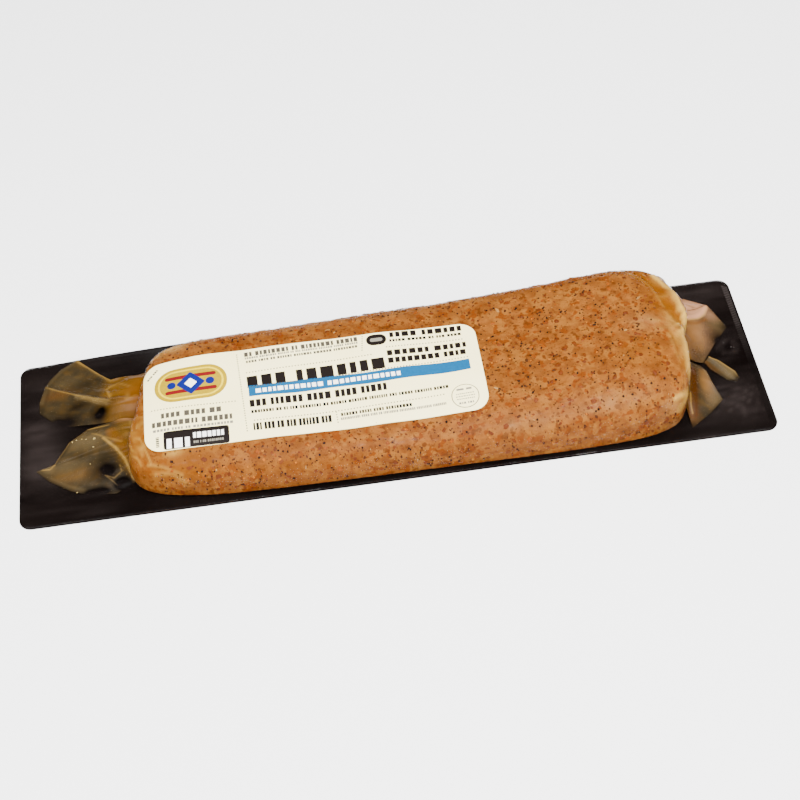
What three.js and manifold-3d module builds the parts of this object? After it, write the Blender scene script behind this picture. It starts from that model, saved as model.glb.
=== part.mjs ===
// A seasoned pork loin fillet, vacuum packed on a black backing board.
// Clear film clings to the meat, gathers in folded ears past both ends of it and is sealed to the board.
// A paper label with round corners lies on top of the film.
// Millimetres, +Z up. The origin is the centre of the board's underside. +X points to the thick end,
// +Y to the far side, where the board's edge curls up a little.
import * as THREE from "three";
import { mergeVertices } from "three/addons/utils/BufferGeometryUtils.js";
import Module from "manifold-3d";

const wasm = await Module();
wasm.setup();

// Backing board
const BOARD_LENGTH = 381;
const BOARD_WIDTH = 104.3;
const BOARD_THICKNESS = 0.6;
const BOARD_CORNER = 6;
const CURL_HEIGHT = 5; // lift of the far edge where it is highest
const CURL_AT = -55; // where along the board it is highest
const CURL_REACH = 126; // from there to where the edge lies flat again
const CURL_DEPTH = 19; // how far in from the edge the board bends
const BOARD_COLUMNS = 22;
const BOARD_ROWS = [-1, 0, 0.63, 0.75, 0.84, 0.92, 1]; // as shares of half the width

// Fillet under its film. Its outline, its ends and its sections are superellipses: a power of 2 gives an
// ellipse, and a high one a box. Where two values stand together, they are for the thin and the thick end.
const CLEARANCE = 0.3;
const FILLET_LENGTH = 281;
const FILLET_CENTRE = 10.8;
const NEAR_HALF_WIDTH = [48, 49.8];
const FAR_HALF_WIDTH = [44.7, 51.5];
const THICKNESS = [22.5, 29.5];
const SECTION_POWER = [4, 5];
const NEAR_PLAN_POWER = [5, 6.4];
const FAR_PLAN_POWER = [12, 12];
const RISE_POWER = [11, 12];
const LEAN = [0.23, 0.03]; // how far an end leans along the board, for each millimetre across it
const UNDER_CORNER = 0.9;
const MIDDLE_RINGS = 29;
const RING_CROWDING = 1.5; // 1 would space the middle rings evenly, and more crowds them at the ends
const END_RINGS = 10;
const END_RISE = [0.3, 0.95]; // shares of the height between which an end's rings are spread
const RING_OVER = 22; // steps over the top of a ring
const RING_UNDER = 10; // steps along its underside

// Where the thick end's face stands out or back, and where the top stands up or sinks
const END_BULGES = [
  { at: 16, radius: 14, out: 5 },
  { at: -36, radius: 12, out: -2.1 },
];
const HUMPS = [
  { at: [148, 40], radius: [13, 15], height: -3.4 },
  { at: [112, 42], radius: [26, 14], height: 0.9 },
  { at: [-121, 33], radius: [17, 15], height: -2.4 },
];

// Seasoning flakes that stand up under the film
const FLAKE_COUNT = 100;
const FLAKE_SPACING = 10;
const FLAKE_LENGTH = [2.3, 5];
const FLAKE_HEIGHT = [0.5, 0.9];
const FLAKE_SEED = 20;

// Paper label
const LABEL_LENGTH = 171;
const LABEL_WIDTH = 58;
const LABEL_CORNER = 8.5;
const LABEL_THICKNESS = 0.3;
const LABEL_CENTRE = [-38.8, -3.8];
const LABEL_TURN = -0.7; // degrees
const LABEL_COLUMNS = 20;
const LABEL_ROWS = 10;

// Folded film past the fillet's ends. An ear has a root inside the fillet's end, a neck where the film is
// drawn together, and folds that fan out from the neck to tips on its rim, listed clockwise as seen from
// above. The neck's height is lower at its ends, by the shares given. Each fold gives how far along the
// neck it starts, where its tip is, the height of its crest and how far its tip is lifted off the board.
const EARS = {
  film_ear_left_near: {
    root: { from: [-118, -33], to: [-114, 0], height: 12.4 },
    neck: { from: [-132, -33], to: [-138, 0], height: 6.7, ends: [0.1, 0.5] },
    folds: [
      { along: 0, tip: [-142.1, -38], crest: 0.4, lift: 0 },
      { along: 0.1, tip: [-155.4, -37.1], crest: 0.9, lift: 0 },
      { along: 0.25, tip: [-164.9, -33], crest: 1.4, lift: 0 },
      { along: 0.4, tip: [-175.6, -25.3], crest: 1.8, lift: 0 },
      { along: 0.55, tip: [-182, -18], crest: 2.2, lift: 0 },
      { along: 0.68, tip: [-172.5, -16.5], crest: 2.4, lift: 1.6 },
      { along: 0.85, tip: [-164.8, -5], crest: 3.6, lift: 3.4 },
      { along: 1, tip: [-155.9, 2], crest: 4, lift: 3 },
    ],
  },
  film_ear_left_far: {
    root: { from: [-118, 4], to: [-114, 34], height: 12.4 },
    neck: { from: [-143.8, 4.3], to: [-141.9, 29.1], height: 8.6, ends: [0.5, 0.5] },
    folds: [
      { along: 0, tip: [-170.1, 8.9], crest: 0.6, lift: 0 },
      { along: 0.14, tip: [-180.3, 19.4], crest: 1, lift: 0 },
      { along: 0.28, tip: [-180.3, 26.5], crest: 0.8, lift: 0 },
      { along: 0.5, tip: [-177.3, 36.2], crest: 3.8, lift: 0.6 },
      { along: 0.65, tip: [-174.4, 41.6], crest: 1.4, lift: 0 },
      { along: 0.82, tip: [-168.9, 47.2], crest: 1, lift: 0 },
      { along: 1, tip: [-160.4, 50.9], crest: 3.8, lift: 0.8 },
    ],
  },
  film_ear_right_far: {
    root: { from: [138, 34], to: [138, -1], height: 16.2 },
    neck: { from: [157, 35], to: [155.5, -1], height: 8.1, ends: [0.5, 0.5] },
    folds: [
      { along: 0, tip: [162.8, 37.1], crest: 2.9, lift: 4.4 },
      { along: 0.15, tip: [174, 30.6], crest: 4.6, lift: 4 },
      { along: 0.5, tip: [181.7, 17.7], crest: 1.4, lift: 0 },
      { along: 0.8, tip: [173.3, 8.5], crest: 1.1, lift: 0 },
      { along: 1, tip: [163.3, -3.5], crest: 1, lift: 0 },
    ],
  },
  film_ear_right_near: {
    root: { from: [136, -8], to: [132, -33], height: 15.2 },
    neck: { from: [153.5, -8], to: [147, -33], height: 7.6, ends: [0.5, 0.1] },
    folds: [
      { along: 0, tip: [161.3, -12.5], crest: 1.9, lift: 4 },
      { along: 0.33, tip: [163.3, -20.1], crest: 1.5, lift: 3.4 },
      { along: 0.62, tip: [166.8, -30.1], crest: 1.1, lift: 0.4 },
      { along: 0.85, tip: [158.7, -37.3], crest: 1, lift: 0 },
      { along: 1, tip: [147.4, -45.1], crest: 0.5, lift: 0 },
    ],
  },
};
const EAR_FILM = 0.7; // height of an ear where its rim lies on the board
const EAR_BETWEEN = 3; // steps between two folds
const EAR_IN = 2; // steps from root to neck
const EAR_OUT = 7; // steps from neck to rim
const SAG = 0.55; // share of the crest that is lost midway between two folds

// Folded strip of film between the right ears, higher along its far edge
const STRIP = { from: [165.2, -3.1], to: [178, -18.4], width: 7, height: [0.7, 2.1], columns: 8, rows: 4 };
const STRIP_TAPER = { from: 0.8, width: 0.55, height: 0.45 };

const COLOURS = {
  board: { color: 0x2a2220, roughness: 0.35 },
  fillet: { color: 0xbd8250, roughness: 0.4 },
  film: { color: 0xa0804e, roughness: 0.2 },
  label: { color: 0xf4efdc, roughness: 0.6 },
};

const { PI, abs, cos, exp, floor, max, min, sign, sin, sqrt } = Math;
const mix = (a, b, t) => a + (b - a) * t;
const clamp = (value, low, high) => min(high, max(low, value));
const radians = THREE.MathUtils.degToRad;
const smoothstep = THREE.MathUtils.smoothstep;
const superellipse = (t, power) => max(0, 1 - min(1, abs(t)) ** power) ** (1 / power);

// A steady stream of random numbers from 0 to 1.
function randomFrom(seed) {
  let state = seed;
  return () => {
    state = (state + 0x6d2b79f5) | 0;
    let t = Math.imul(state ^ (state >>> 15), 1 | state);
    t = (t + Math.imul(t ^ (t >>> 7), 61 | t)) ^ t;
    return ((t ^ (t >>> 14)) >>> 0) / 2 ** 32;
  };
}

// Meshes and solids

function geometryFrom(points, triangles) {
  return new THREE.BufferGeometry()
    .setAttribute("position", new THREE.Float32BufferAttribute(points.flat(), 3))
    .setIndex(triangles.flat());
}

function solidFrom(geometry) {
  const merged = mergeVertices(geometry, 1e-4);
  const vertProperties = new Float32Array(merged.attributes.position.array);
  const triVerts = new Uint32Array(merged.index.array);
  return new wasm.Manifold(new wasm.Mesh({ numProp: 3, vertProperties, triVerts }));
}

function geometryOf(solid) {
  const mesh = solid.getMesh();
  return new THREE.BufferGeometry()
    .setAttribute("position", new THREE.BufferAttribute(new Float32Array(mesh.vertProperties), 3))
    .setIndex(new THREE.BufferAttribute(new Uint32Array(mesh.triVerts), 1));
}

// A closed slab over a grid, where at(i, j) gives [x, y, low z, high z]. The rows, along j, are turned
// anticlockwise from the columns, along i, as seen from above.
function slab(columns, rows, at) {
  const low = [];
  const high = [];
  for (let i = 0; i <= columns; i++)
    for (let j = 0; j <= rows; j++) {
      const [x, y, bottom, top] = at(i, j);
      low.push([x, y, bottom]);
      high.push([x, y, top]);
    }
  const count = high.length;
  const index = (i, j) => i * (rows + 1) + j;
  const triangles = [];
  const quad = (a, b, c, d) => triangles.push([a, b, c], [a, c, d]);
  for (let i = 0; i < columns; i++)
    for (let j = 0; j < rows; j++) {
      const [a, b, c, d] = [index(i, j), index(i + 1, j), index(i + 1, j + 1), index(i, j + 1)];
      quad(a, b, c, d);
      quad(a + count, d + count, c + count, b + count);
    }
  const wall = (a, b) => quad(a + count, b + count, b, a);
  for (let i = 0; i < columns; i++) {
    wall(index(i, 0), index(i + 1, 0));
    wall(index(i + 1, rows), index(i, rows));
  }
  for (let j = 0; j < rows; j++) {
    wall(index(columns, j), index(columns, j + 1));
    wall(index(0, j + 1), index(0, j));
  }
  return geometryFrom([...high, ...low], triangles);
}

// Places along a length with round corners: close together in the corners, even between them.
function stations(length, corner, between) {
  const inner = length / 2 - corner;
  const arc = [0, 0.35, 0.65, 0.88, 1].map((share) => inner + corner * sin((share * PI) / 2));
  const middle = [];
  for (let k = 1; k < between; k++) middle.push(mix(-inner, inner, k / between));
  return [...arc.map((v) => -v).reverse(), ...middle, ...arc];
}

// Half the width of a rectangle with round corners, at a place along it.
function halfWidth(along, length, width, corner) {
  const past = max(0, abs(along) - (length / 2 - corner));
  return width / 2 - corner + sqrt(max(0, corner ** 2 - past ** 2));
}

// Backing board

// How far the board curls up, towards its far edge.
function curl(x, y) {
  const along = max(0, 1 - ((x - CURL_AT) / CURL_REACH) ** 2);
  const across = clamp((y - (BOARD_WIDTH / 2 - CURL_DEPTH)) / CURL_DEPTH, 0, 1);
  return CURL_HEIGHT * along * across ** 2;
}

const boardTop = (x, y) => BOARD_THICKNESS + curl(x, y);

function backingBoard() {
  const columns = stations(BOARD_LENGTH, BOARD_CORNER, BOARD_COLUMNS);
  return slab(columns.length - 1, BOARD_ROWS.length - 1, (i, j) => {
    const x = columns[i];
    const y = BOARD_ROWS[j] * halfWidth(x, BOARD_LENGTH, BOARD_WIDTH, BOARD_CORNER);
    return [x, y, curl(x, y), boardTop(x, y)];
  });
}

// Fillet

// Low, uneven waves of the meat's surface, and its humps.
function unevenness(x, y) {
  const long = sin(x / 16 + 0.6 + y / 57) * 0.35 + sin(x / 8.3 - y / 30 + 2.1) * 0.2;
  const cross = sin(y / 12 + x / 42 + 1.3) * 0.4 + sin(x / 28 - y / 15 + 4) * 0.45;
  const hump = ({ at, radius, height }) =>
    height * exp(-(((x - at[0]) / radius[0]) ** 2) - ((y - at[1]) / radius[1]) ** 2);
  return HUMPS.reduce((sum, one) => sum + hump(one), long + cross);
}

// How far the left and the right end stand out along the board, at a place across it.
function endShifts(y) {
  const bulge = ({ at, radius, out }) => out * exp(-(((y - at) / radius) ** 2));
  return [LEAN[0] * y, END_BULGES.reduce((sum, one) => sum + bulge(one), LEAN[1] * y)];
}

// A place along the board from a share t of half the fillet's length, from -1 to 1, and the way back.
function placeAlong(t, y, margin = 0) {
  return FILLET_CENTRE + t * (FILLET_LENGTH / 2 + margin) + mix(...endShifts(y), (t + 1) / 2);
}

function shareAlong(x, y) {
  const [left, right] = endShifts(y);
  return (x - FILLET_CENTRE - (left + right) / 2) / (FILLET_LENGTH / 2 + (right - left) / 2);
}

// The fillet's measures at a share t of half its length.
function sectionAt(t, margin = 0) {
  const end = t < 0 ? 0 : 1;
  const towards = (t + 1) / 2;
  const rise = superellipse(t, RISE_POWER[end]);
  return {
    near: (mix(...NEAR_HALF_WIDTH, towards) + margin) * superellipse(t, NEAR_PLAN_POWER[end]),
    far: (mix(...FAR_HALF_WIDTH, towards) + margin) * superellipse(t, FAR_PLAN_POWER[end]),
    height: (mix(...THICKNESS, smoothstep(t, 0, 1)) + margin) * rise,
    power: mix(...SECTION_POWER, towards),
    rise,
  };
}

// Height above the fillet's underside of a point of its surface, at a share of the way up its section.
const heightAt = (x, y, { height, rise }, share) => height * share + unevenness(x, y) * share ** 2 * rise;

// Height of the fillet's top above the floor.
function filletTop(x, y) {
  const section = sectionAt(shareAlong(x, y));
  const share = superellipse(y / (y < 0 ? section.near : section.far), section.power);
  return BOARD_THICKNESS + CLEARANCE + heightAt(x, y, section, share);
}

// One ring of the fillet's surface: from the far side over the top to the near side, and back underneath.
// With a margin it is larger all round, and much deeper.
function filletRing(t, margin) {
  const section = sectionAt(t, margin);
  const { near, far, height, power } = section;
  const corner = min(UNDER_CORNER, height / 4);
  const foot = -4 * margin;
  const ring = [];
  const place = (y, rise) => {
    const x = placeAlong(t, y, margin);
    const z = BOARD_THICKNESS + CLEARANCE + rise(x);
    ring.push([x, y, max(z, boardTop(x, y) + CLEARANCE + foot)]);
  };
  for (let k = 0; k <= RING_OVER; k++) {
    const angle = (k / RING_OVER) * PI;
    const across = sign(cos(angle)) * abs(cos(angle)) ** (2 / power);
    const share = abs(sin(angle)) ** (2 / power);
    const y = across * (across < 0 ? near : far);
    place(y, (x) => max(foot + corner, heightAt(x, y, section, share)));
  }
  for (let k = 1; k < RING_UNDER; k++) {
    const across = -cos((k / RING_UNDER) * PI);
    const y = across < 0 ? across * near + corner : across * far - corner;
    place(y, () => foot);
  }
  return ring;
}

// Shares of half the fillet's length where its rings stand: evenly spaced down each end's face, and
// closer together towards the two faces than in the middle.
function ringPlaces() {
  const rises = Array.from({ length: END_RINGS }, (_, k) => mix(...END_RISE, k / (END_RINGS - 1)));
  const [left, right] = RISE_POWER.map((power) => rises.map((rise) => superellipse(rise, power)));
  const middle = [];
  for (let k = 1; k <= MIDDLE_RINGS; k++) {
    const even = (2 * k) / (MIDDLE_RINGS + 1) - 1;
    const crowded = sign(even) * (1 - (1 - abs(even)) ** RING_CROWDING);
    middle.push(mix(-left.at(-1), right.at(-1), (1 + crowded) / 2));
  }
  return [...left.map((t) => -t), ...middle, ...right.reverse()];
}

// The fillet's closed surface. With a margin it cuts a neighbour clear of the fillet.
function filletSolid(margin = 0) {
  const rings = ringPlaces().map((t) => filletRing(t, margin));
  const points = rings.flat();
  const triangles = [];
  const size = RING_OVER + RING_UNDER;
  for (let i = 0; i < rings.length - 1; i++)
    for (let k = 0; k < size; k++) {
      const [a, b] = [i * size + k, i * size + ((k + 1) % size)];
      triangles.push([a, b, a + size], [b, b + size, a + size]);
    }
  const centre = (ring) => [0, 1, 2].map((axis) => ring.reduce((sum, point) => sum + point[axis] / size, 0));
  const [leftTip, rightTip] = [points.length, points.length + 1];
  points.push(centre(rings[0]), centre(rings.at(-1)));
  const lastRing = (rings.length - 1) * size;
  for (let k = 0; k < size; k++) {
    const next = (k + 1) % size;
    triangles.push([leftTip, next, k], [rightTip, lastRing + k, lastRing + next]);
  }
  return solidFrom(geometryFrom(points, triangles));
}

// True where the label lies, or where its edge is closer than the margin.
function nearLabel(x, y, margin) {
  const turn = radians(LABEL_TURN);
  const [dx, dy] = [x - LABEL_CENTRE[0], y - LABEL_CENTRE[1]];
  const along = dx * cos(turn) + dy * sin(turn);
  const across = dy * cos(turn) - dx * sin(turn);
  return abs(along) < LABEL_LENGTH / 2 + margin && abs(across) < LABEL_WIDTH / 2 + margin;
}

// A flat, angular flake, half sunk in the fillet's top and lying along its slope.
function flake(x, y, random) {
  const length = mix(...FLAKE_LENGTH, random() ** 2);
  const shape = new THREE.IcosahedronGeometry(0.5, 0).deleteAttribute("normal").deleteAttribute("uv");
  shape.scale(length, length * mix(0.5, 0.85, random()), 2 * mix(...FLAKE_HEIGHT, random()));
  shape.rotateZ(random() * PI);
  const step = 1.5;
  const slopeX = (filletTop(x + step, y) - filletTop(x - step, y)) / (2 * step);
  const slopeY = (filletTop(x, y + step) - filletTop(x, y - step)) / (2 * step);
  const normal = new THREE.Vector3(-slopeX, -slopeY, 1).normalize();
  shape.applyQuaternion(new THREE.Quaternion().setFromUnitVectors(new THREE.Vector3(0, 0, 1), normal));
  return solidFrom(mergeVertices(shape.translate(x, y, filletTop(x, y))));
}

// Places for the flakes, evenly spread over the top, clear of the label and of the fillet's edges.
function flakePlaces(random) {
  const places = [];
  for (let tries = 0; places.length < FLAKE_COUNT && tries < 20000; tries++) {
    const t = mix(-0.9, 0.92, random());
    const { near, far } = sectionAt(t);
    const y = mix(-0.88 * near, 0.88 * far, random());
    const x = placeAlong(t, y);
    const crowded = places.some(([px, py]) => Math.hypot(px - x, py - y) < FLAKE_SPACING);
    if (!crowded && !nearLabel(x, y, FLAKE_LENGTH[1])) places.push([x, y]);
  }
  return places;
}

function wrappedFillet() {
  const random = randomFrom(FLAKE_SEED);
  const flakes = flakePlaces(random).map(([x, y]) => flake(x, y, random));
  return geometryOf(flakes.reduce((made, one) => made.add(one), filletSolid()));
}

// Label

function paperLabel() {
  const columns = stations(LABEL_LENGTH, LABEL_CORNER, LABEL_COLUMNS);
  const turn = radians(LABEL_TURN);
  return slab(columns.length - 1, LABEL_ROWS, (i, j) => {
    const along = columns[i];
    const half = halfWidth(along, LABEL_LENGTH, LABEL_WIDTH, LABEL_CORNER);
    const across = mix(-half, half, j / LABEL_ROWS);
    const x = LABEL_CENTRE[0] + along * cos(turn) - across * sin(turn);
    const y = LABEL_CENTRE[1] + along * sin(turn) + across * cos(turn);
    const low = filletTop(x, y) + CLEARANCE;
    return [x, y, low, low + LABEL_THICKNESS];
  });
}

// Film ears

const pointOn = (line, share) => line.from.map((from, axis) => mix(from, line.to[axis], share));

// An ear of folded film, solid down to the board and cut clear of the fillet's end.
function filmEar({ root, neck, folds }, filletCut) {
  const across = (folds.length - 1) * EAR_BETWEEN;
  const geometry = slab(across, EAR_IN + EAR_OUT, (i, j) => {
    const fold = min(folds.length - 2, floor(i / EAR_BETWEEN));
    const past = i / EAR_BETWEEN - fold;
    const value = (field) => mix(folds[fold][field], folds[fold + 1][field], past);
    const share = value("along");
    const crest = value("crest") * (1 - SAG * sin(past * PI));
    const waist = 1 - (1 - neck.ends[share < 0.5 ? 0 : 1]) * (2 * share - 1) ** 4;
    const onNeck = pointOn(neck, share);
    const out = (j - EAR_IN) / EAR_OUT;
    if (out < 0) {
      const back = (EAR_IN - j) / EAR_IN;
      const [x, y] = pointOn({ from: onNeck, to: pointOn(root, share) }, back);
      const low = boardTop(x, y) + CLEARANCE;
      return [x, y, low, low + EAR_FILM + mix(neck.height, root.height, back) * waist + crest];
    }
    const tip = pointOn({ from: folds[fold].tip, to: folds[fold + 1].tip }, past);
    const [x, y] = pointOn({ from: onNeck, to: tip }, out);
    const low = boardTop(x, y) + CLEARANCE;
    const fall = neck.height * waist * (1 - out) ** 1.7 + crest * (1 - out) ** 0.6;
    return [x, y, low, low + EAR_FILM + fall + value("lift") * out];
  });
  return geometryOf(solidFrom(geometry).subtract(filletCut));
}

function filmStrip({ from, to, width, height, columns, rows }) {
  const [dx, dy] = [to[0] - from[0], to[1] - from[1]];
  const length = Math.hypot(dx, dy);
  return slab(columns, rows, (i, j) => {
    const along = i / columns;
    const taper = mix(1, STRIP_TAPER.width, smoothstep(along, STRIP_TAPER.from, 1));
    const side = (j / rows - 0.5) * width * taper;
    const x = from[0] + dx * along - (dy / length) * side;
    const y = from[1] + dy * along + (dx / length) * side;
    const low = boardTop(x, y) + CLEARANCE;
    return [x, y, low, low + mix(...height, j / rows) * mix(1, STRIP_TAPER.height, along)];
  });
}

// Assembly

const pack = new THREE.Group();

function addPiece(name, geometry, colour) {
  const mesh = new THREE.Mesh(geometry, new THREE.MeshStandardMaterial({ metalness: 0, ...colour }));
  mesh.name = name;
  pack.add(mesh);
}

const filletCut = filletSolid(CLEARANCE);
addPiece("backing_board", backingBoard(), COLOURS.board);
addPiece("wrapped_fillet", wrappedFillet(), COLOURS.fillet);
addPiece("paper_label", paperLabel(), COLOURS.label);
for (const [name, shape] of Object.entries(EARS)) addPiece(name, filmEar(shape, filletCut), COLOURS.film);
addPiece("film_strip_right", filmStrip(STRIP), COLOURS.film);

export default pack;
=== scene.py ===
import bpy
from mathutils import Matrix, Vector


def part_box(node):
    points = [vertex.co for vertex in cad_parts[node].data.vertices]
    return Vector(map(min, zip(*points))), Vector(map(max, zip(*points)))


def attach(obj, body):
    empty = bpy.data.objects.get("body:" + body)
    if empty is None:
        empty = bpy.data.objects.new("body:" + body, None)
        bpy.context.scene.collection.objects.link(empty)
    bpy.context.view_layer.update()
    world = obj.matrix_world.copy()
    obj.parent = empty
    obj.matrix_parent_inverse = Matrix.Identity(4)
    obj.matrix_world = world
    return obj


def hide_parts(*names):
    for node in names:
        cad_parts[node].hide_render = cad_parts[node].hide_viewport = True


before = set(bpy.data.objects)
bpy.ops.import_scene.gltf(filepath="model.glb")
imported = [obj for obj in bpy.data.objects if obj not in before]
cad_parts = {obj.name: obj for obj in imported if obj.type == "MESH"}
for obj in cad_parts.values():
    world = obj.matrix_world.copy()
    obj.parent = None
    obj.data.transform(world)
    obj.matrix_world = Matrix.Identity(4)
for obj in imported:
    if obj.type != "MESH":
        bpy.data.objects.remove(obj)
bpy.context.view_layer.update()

import math

import bmesh
import bpy
import numpy as np
from mathutils import Matrix, Vector

MM = 0.001

# Camera
CAMERA_PLACE = (-45.95, -534.72, 660.13)
CAMERA_AZIMUTH = -5.41
CAMERA_ELEVATION = 50.94
CAMERA_ROLL = -3.277
CAMERA_LENS = 74.25
CAMERA_SENSOR = 36
CAMERA_CLIP = (0.02, 20)  # in metres

# Light
WORLD_COLOUR = (1.0, 0.98, 0.96)
WORLD_STRENGTH = 0.12
SOFTBOXES = [
    {"name": "front", "place": (-250, -1000, 1000), "size": 2300, "power": 57},
    {"name": "top", "place": (100, -350, 1500), "size": 1300, "power": 121},
]
FLOOR_SIZE = 8000
FLOOR_DROP = 0.05

# Backing board
board_low, board_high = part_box("backing_board")
BOARD_LENGTH = (board_high.x - board_low.x) / MM
BOARD_WIDTH = (board_high.y - board_low.y) / MM
BOARD_THICKNESS = 0.6
BOARD_CORNER = 6
CURL_HEIGHT = 5
CURL_AT = -55
CURL_REACH = 126
CURL_DEPTH = 19
BOARD_STEP = 2.2
# Where the board is painted grey as the sheen of its film: place and radii, then how strong each cause of
# that painted sheen is
GREY_SHEEN_AREAS = [((172, -32), (15, 13)), ((160, 46), (26, 9)), ((-181, 15), (9, 24)), ((-178, -14), (12, 16))]
GREY_SHEEN = {"areas": 0.6, "swirl": 1.4, "rim": 0.5, "streaks_from": (130, 150), "bubble_radii": (5, 5)}

# Clear film over the board
BASE_FILM = {
    "gap": 0.03, "thickness": 0.03, "inset": 0.5, "step": 1.3,
    "edge": 2, "wrinkles_from": (112, 140), "mean": 0.17, "least": 0.05,
}
SWIRL = {"at": (166, -40), "spacing": 4.6, "height": 0.16, "reach": (14, 12), "middle": (174, -31)}
BUBBLE = {"at": (179, 5), "radius": 4.2, "width": 1.3, "height": 0.35}
# Painted glints on the bubble under the film
BUBBLE_GLINTS = [(177.2, 7.6, 0.5), (180.4, 4.3, 0.7), (181.6, 3.6, 0.4)]  # place and length
# Ribs of the seal; they are painted lighter as sheen towards the far side
SEAL_RIBS = {
    "from": -46, "to": 49, "pitch": 1.35, "x": (186.6, 189.3), "slant": 1.7,
    "width": 0.34, "height": 0.2, "columns": 3, "sheen_range": (-12, 42),
}

# Fillet under its film, for the thin and the thick end where two values stand together
CLEARANCE = 0.3
FILLET_LENGTH = 281
FILLET_CENTRE = 10.8
NEAR_HALF_WIDTH = (48, 49.8)
FAR_HALF_WIDTH = (44.7, 51.5)
THICKNESS = (22.5, 29.5)
SECTION_POWER = (4, 5)
NEAR_PLAN_POWER = np.array([5, 6.4])
FAR_PLAN_POWER = np.array([12, 12])
RISE_POWER = np.array([11, 12])
LEAN = (0.23, 0.03)
UNDER_CORNER = 0.9
END_BULGES = [(16, 14, 5), (-36, 12, -2.1)]  # at, radius, out
# Low waves of the meat's surface: lengths along x and y, phase and height
SURFACE_WAVES = [(16, 57, 0.6, 0.35), (8.3, -30, 2.1, 0.2), (42, 12, 1.3, 0.4), (28, -15, 4, 0.45)]
# Humps of the meat: height, place and radii
HUMPS = [(-3.4, (148, 40), (13, 15)), (0.9, (112, 42), (26, 14)), (-2.4, (-121, 33), (17, 15))]
FILLET_STEP = 0.8
SKIN_STEP = 1.2
RING_UNDER = 14
RING_ANGLES = 1200
END_RISES = (0.22, 0.965)  # shares of the height between which an end's rings are spread
CORNER_STEPS = 8
SIDE_SHARE = 0.35  # share of the height by which the relief is full
FOLDS_FROM = (6, 16)  # heights between which the film's folds come in
MEAT_UNDER_LABEL = 0.3  # share of the relief that is left below the label
SKIN = {"gap": 0.3, "gap_under_label": 0.2, "under_label": 0.1, "follows": 0.9}
LABEL_MARGIN = 1
# Painted glare of the film on the meat: its mean, how much its cloud changes it, and the most of it
PALE_GLARE = {"mean": 0.55, "cloud": 0.7, "most": 0.9}
# Crumpled facets at the fillet's ends: raised ones painted with cream highlight, hollow ones darker amber
# as painted shade
CRUMPLE = {
    "size": 5.5, "seed": 8, "height": 0.5, "cream_highlight": 0.3, "amber": -0.6, "mellow": 0.3,
    "left": (116, 124), "right": (139, 147),
}

# Folds of the film on the fillet: height, cream (painted highlight on the fold), amber, width and the line
# they follow
FILLET_FOLDS = [
    (0.8, 1.0, 0.0, 1.55, [(145, 39), (150.5, 27), (152.5, 18), (153.8, 10.1), (154, 5)]),
    (-0.9, 0.0, 1.0, 3.6, [(135, 42.5), (144.5, 29), (146, 19), (148.5, 10), (150.5, 5)]),
    (0.5, 0.2, 0.3, 0.8, [(131, 43.5), (137, 38), (141, 31), (142, 24), (144.5, 14)]),
    (0.7, 1.0, 0.0, 1.0, [(149.2, 3.5), (151, 0.8), (150.5, -1.5)]),
    (0.4, 0.15, 0.0, 1.0, [(134, 6), (140, 4), (146, 1.4), (150, 0.6)]),
    (0.4, 0.12, 0.0, 0.9, [(137, -1), (144, -0.6), (150, 0)]),
    (-0.6, 0.0, 0.8, 1.0, [(144, -3), (145.2, -11), (146, -19), (147, -26), (148.5, -31)]),
    (0.6, 0.7, 0.0, 1.9, [(149.6, -3), (149.4, -10), (149, -18), (148.4, -26)]),
    (0.4, 0.15, 0.0, 0.9, [(142.4, -5), (142.8, -13), (143.6, -20), (145, -28)]),
    (0.3, 0.7, 0.0, 0.7, [(137, -41), (142.5, -38), (145.5, -35.5)]),
    (0.25, 0.6, 0.0, 0.6, [(139, -43), (143.5, -38.5), (146.5, -33)]),
    (0.4, 0.25, 0.3, 0.9, [(-131, -3), (-131.5, -12), (-130, -21), (-126.5, -31)]),
    (0.35, 0.4, 0.0, 0.5, [(-128, -6), (-128.3, -14), (-127, -22), (-124, -31), (-122.5, -36)]),
    (-0.4, 0.0, 0.9, 1.3, [(-129.6, -4), (-130, -13), (-128.6, -21), (-125, -30)]),
    (0.35, 0.35, 0.0, 0.5, [(-133.5, -20), (-131, -27), (-127.5, -35)]),
    (0.4, 0.3, 0.0, 0.6, [(-125, -8), (-124.4, -17), (-122, -26)]),
    (0.3, 0.3, 0.2, 0.7, [(-124, -36), (-117, -38.5), (-108, -43)]),
    (0.25, 0.3, 0.2, 0.7, [(-121, -40), (-113, -41.5), (-105, -46)]),
    (0.35, 0.6, 0.0, 0.8, [(-122.5, 36), (-119, 40.5), (-112, 43.5), (-100, 44.5)]),
    (0.25, 0.5, 0.0, 0.7, [(-120, 31), (-116, 36), (-108, 39.5)]),
]
# Where the film on the fillet is painted with pale glare, with amber and with cream highlight: strength,
# place and radii
PALE_GLARE_AREAS = [
    (0.6, (104, -41), (15, 4.5)),
    (0.55, (134, 4), (11, 6)),
    (0.9, (-112, 39), (16, 6)),
    (0.4, (62, -44), (20, 4)),
    (0.7, (138, -43), (9, 4)),
    (0.3, (-20, 40), (60, 4)),
]
AMBER_AREAS = [
    (0.8, (-110, -40), (27, 9)),
    (0.85, (-128, -20), (9, 22)),
    (0.6, (-124, 18), (7, 16)),
    (0.3, (-60, -45), (30, 5)),
    (0.3, (126, -15), (13, 10)),
    (0.5, (141, 16), (5, 14)),
]
CREAM_HIGHLIGHT_AREAS = [
    (0.8, (151.5, 26), (1.8, 8)),
    (0.5, (-114, 40), (12, 5)),
    (0.4, (149, -13), (2.6, 14)),
    (0.25, (147.5, 2), (4, 3)),
    (0.5, (-111, -33.5), (4.5, 1.6)),
    (0.5, (-126, -27), (1.8, 3)),
]

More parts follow.
